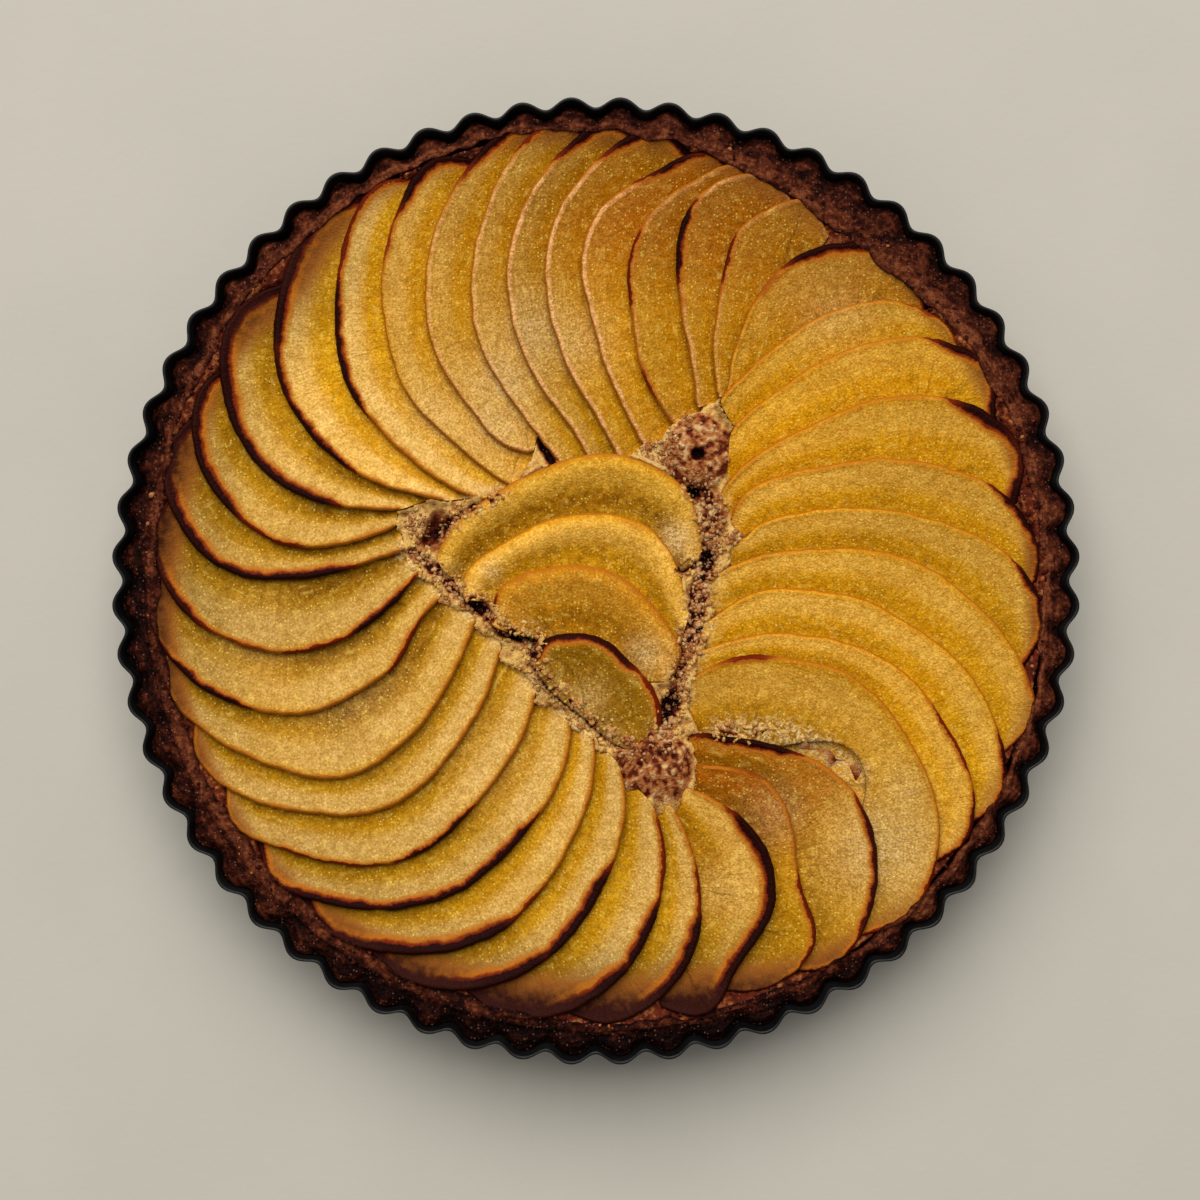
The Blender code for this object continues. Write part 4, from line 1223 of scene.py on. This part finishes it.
def apple_look(net):
    edge, rim, along = (net.layer(name) for name in ("edge", "rim", "along"))
    clouds = net.group("mottle", Size=8.0)
    patches = net.group("mottle", Size=2.2)
    grains = net.group("mottle", Size=0.6, Low=0.34, High=0.66)
    # Fibres run from the peel to the core, and pale flakes along the slice, partly painted wet highlights.
    fibres = net.span(net.flat_noise(along, net.times(edge, 0.16), 1.1, 3.0, 0.6), 0.32, 0.68)
    flakes_and_highlights = net.span(net.flat_noise(net.times(along, 0.6), edge, 1.9, 4.0, 0.7), 0.50, 0.78)

    flesh = net.mix(clouds, (0.66, 0.310, 0.003), (0.74, 0.375, 0.008))
    # Pale cream near the peel is partly painted light; deep amber by the slice over it, painted shade and
    # moisture.
    tints = (
        ("amber", clouds, 1.0, 1.0, (0.42, 0.120, 0.003)),
        ("cream_and_lit", clouds, 0.75, 1.0, (0.82, 0.51, 0.16)),
        ("moist_and_shaded", patches, 1.0, 0.75, (0.27, 0.105, 0.001)),
        ("olive", patches, 1.0, 1.0, (0.17, 0.072, 0.004)),
        ("pale", grains, 0.55, 1.0, (0.80, 0.55, 0.25)),
    )
    for name, veil, low, high, colour in tints:
        flesh = net.mix(net.times(net.layer(name), net.span(veil, 0.0, 1.0, low, high)), flesh, colour)
    flesh = net.mix(1.0, flesh, net.layer("tone"), "MULTIPLY")
    shades = (
        (1.0, grains, (0.74, 0.66, 0.40), (1.10, 1.10, 1.15)),
        (1.0, patches, (0.88, 0.84, 0.72), (1.07, 1.07, 1.12)),
        (0.5, fibres, (0.84, 0.82, 0.68), (1.05, 1.05, 1.10)),
    )
    for share, veil, dark, light in shades:
        flesh = net.mix(share, flesh, net.mix(veil, dark, light), "MULTIPLY")
    # Small pale specks on the flesh are painted glints.
    painted_glint = net.group("flecks", Spacing=0.95, Share=0.5)
    flesh = net.mix(net.times(painted_glint, 0.5), flesh, (0.92, 0.66, 0.12))
    flesh = net.mix(net.times(flakes_and_highlights, 0.40), flesh, (0.92, 0.66, 0.13))
    crumbly = net.times(net.layer("crumbly"), net.span(net.noise(1.1, 3.0, 0.6), 0.4, 0.62))
    flesh = net.mix(crumbly, flesh, net.mix(grains, (0.42, 0.24, 0.07), (0.82, 0.60, 0.29)))
    bead = net.times(
        net.math("MULTIPLY", rim, -1.0, use_clamp=True),
        net.span(edge, 1.6, 1.1),
        net.span(edge, 0.1, 0.5),
        net.span(patches, 0.2, 0.6, 0.4, 1.0),
    )
    flesh = net.mix(bead, flesh, net.mix(grains, (0.55, 0.22, 0.07), (0.80, 0.46, 0.19)))
    ended = net.times(net.layer("ended"), net.span(patches, 0.0, 1.0, 0.93, 1.07))
    flesh = net.mix(net.span(ended, 0.05, 0.5), flesh, (0.24, 0.075, 0.010))

    burn = net.group(
        "peel_burn",
        Edge=edge,
        Width=net.layer("burn_width"),
        Depth=net.layer("burn_depth"),
        Rim=net.math("MAXIMUM", rim, net.times(net.span(edge, 0.4, 0.05), 0.66)),
        Reach=net.layer("reach"),
    )
    browned = net.group(
        "toasting",
        Raw=flesh,
        Toasted=(0.40, 0.12, 0.008),
        Browned=(0.15, 0.013, 0.002),
        Burnt=(0.015, 0.002, 0.001),
        Amount=burn,
    )
    browned = net.mix(net.span(ended, 0.38, 0.85), browned, (0.028, 0.005, 0.003))
    height = net.plus(net.group("grain", Size=0.55), net.times(fibres, 0.35))
    return browned, net.span(burn, 0.3, 0.9, 0.5, 0.42), height


def pastry_look(net):
    amount = net.plus(net.times(net.layer("shade"), 0.75), net.times(net.group("mottle", Size=0.9), 0.3))
    base = net.group(
        "toasting",
        Raw=(0.19, 0.052, 0.018),
        Toasted=(0.072, 0.015, 0.006),
        Browned=(0.022, 0.004, 0.002),
        Burnt=(0.004, 0.0015, 0.0015),
        Amount=amount,
    )
    colour = net.mix(net.times(net.group("flecks", Spacing=0.85), 0.45), base, (0.28, 0.11, 0.07))
    return colour, net.span(amount, 0.0, 1.0, 0.65, 0.5), net.group("grain", Size=0.45)


def filling_look(net):
    amount = net.plus(net.times(net.layer("shade"), 0.9), net.times(net.group("mottle", Size=1.0), 0.16))
    base = net.group(
        "toasting",
        Raw=net.mix(net.layer("gold"), (0.62, 0.42, 0.19), (0.70, 0.44, 0.12)),
        Toasted=(0.36, 0.120, 0.032),
        Browned=(0.100, 0.013, 0.004),
        Burnt=(0.014, 0.003, 0.003),
        Amount=amount,
    )
    colour = net.mix(net.times(net.group("flecks", Spacing=1.0), 0.3), base, (0.50, 0.30, 0.20))
    return colour, net.span(amount, 0.0, 1.0, 0.6, 0.45), net.group("grain", Size=0.5)


def tin_look(net):
    worn = net.group("mottle", Size=14.0, Low=0.35)
    colour = net.mix(worn, (0.003, 0.003, 0.003), (0.006, 0.006, 0.006))
    colour = net.mix(net.times(net.group("mottle", Size=0.9, Low=0.4), 0.3), colour, (0.014, 0.012, 0.012))
    return colour, net.span(worn, 0.0, 1.0, 0.28, 0.42), net.group("grain", Size=0.8)


def floor_look(net):
    soft = net.group("mottle", Size=60.0)
    colour = net.mix(soft, (0.44, 0.412, 0.352), (0.457, 0.428, 0.368))
    return colour, net.span(soft, 0.0, 1.0, 0.7, 0.8), net.group("grain", Size=2.0)


def make_material(name, look, specular, bump_depth):
    """A material whose look gives its colour, roughness and bump height, of a depth in mm."""
    made = bpy.data.materials.new(name)
    made.use_nodes = True
    net = Net(made.node_tree)
    colour, roughness, height = look(net)
    bump = net.add("ShaderNodeBump", {"Strength": 1.0, "Distance": bump_depth * MM, "Height": height})
    inputs = made.node_tree.nodes["Principled BSDF"].inputs
    inputs["Specular IOR Level"].default_value = specular
    for key, value in (("Normal", bump["Normal"]), ("Base Color", colour), ("Roughness", roughness)):
        net.give(inputs[key], value)
    return made


# ---------------------------------------------------------------- the studio


def add_studio():
    reach = FLOOR_REACH
    mesh = bpy.data.meshes.new("floor")
    corners = [(-reach, -reach, 0), (reach, -reach, 0), (reach, reach, 0), (-reach, reach, 0)]
    mesh.from_pydata(corners, [], [(0, 1, 2, 3)])
    mesh.materials.append(MATERIALS["floor"])
    link_object("floor", mesh)

    light = bpy.data.lights.new("window", "AREA")
    light.size = WINDOW_WIDTH
    light.energy = WINDOW_POWER
    light.color = WINDOW_COLOUR
    window = link_object("window", light)
    bearing, rise = WINDOW_FROM
    flat = polar(WINDOW_AWAY * math.cos(math.radians(rise)), bearing)
    window.location = (*flat, WINDOW_AWAY * math.sin(math.radians(rise)))
    window.rotation_euler = (-window.location).to_track_quat("-Z", "Y").to_euler()

    world = bpy.data.worlds.new("studio")
    world.use_nodes = True
    world.node_tree.nodes["Background"].inputs["Color"].default_value = (1.0, 1.0, 1.0, 1.0)
    world.node_tree.nodes["Background"].inputs["Strength"].default_value = ROOM_LIGHT
    bpy.context.scene.world = world
    bpy.context.scene.view_settings.view_transform = "Standard"


def add_camera():
    data = bpy.data.cameras.new("above")
    data.sensor_width = SENSOR
    data.lens = SENSOR * (CAMERA_HEIGHT - TIN_HEIGHT) / VIEW_WIDTH
    data.clip_start = 0.01
    camera = link_object("above", data)
    camera.location = (VIEW_SHIFT[0] * MM, VIEW_SHIFT[1] * MM, CAMERA_HEIGHT * MM)
    bpy.context.scene.camera = camera


for entry in GROUPS:
    make_group(*entry)
MATERIALS = {
    "apple": make_material("baked_apple", apple_look, 0.03, 0.3),
    "pastry": make_material("dark_pastry", pastry_look, 0.03, 0.5),
    "almond_filling": make_material("almond_crumb", filling_look, 0.05, 0.5),
    "tin": make_material("dark_tin", tin_look, 0.16, 0.04),
    "floor": make_material("pale_floor", floor_look, 0.2, 0.05),
}
build_tin()
SLICES = build_slices()
build_pastry(SLICES)
build_filling(SLICES)
build_crumbs(SLICES)
add_studio()
add_camera()
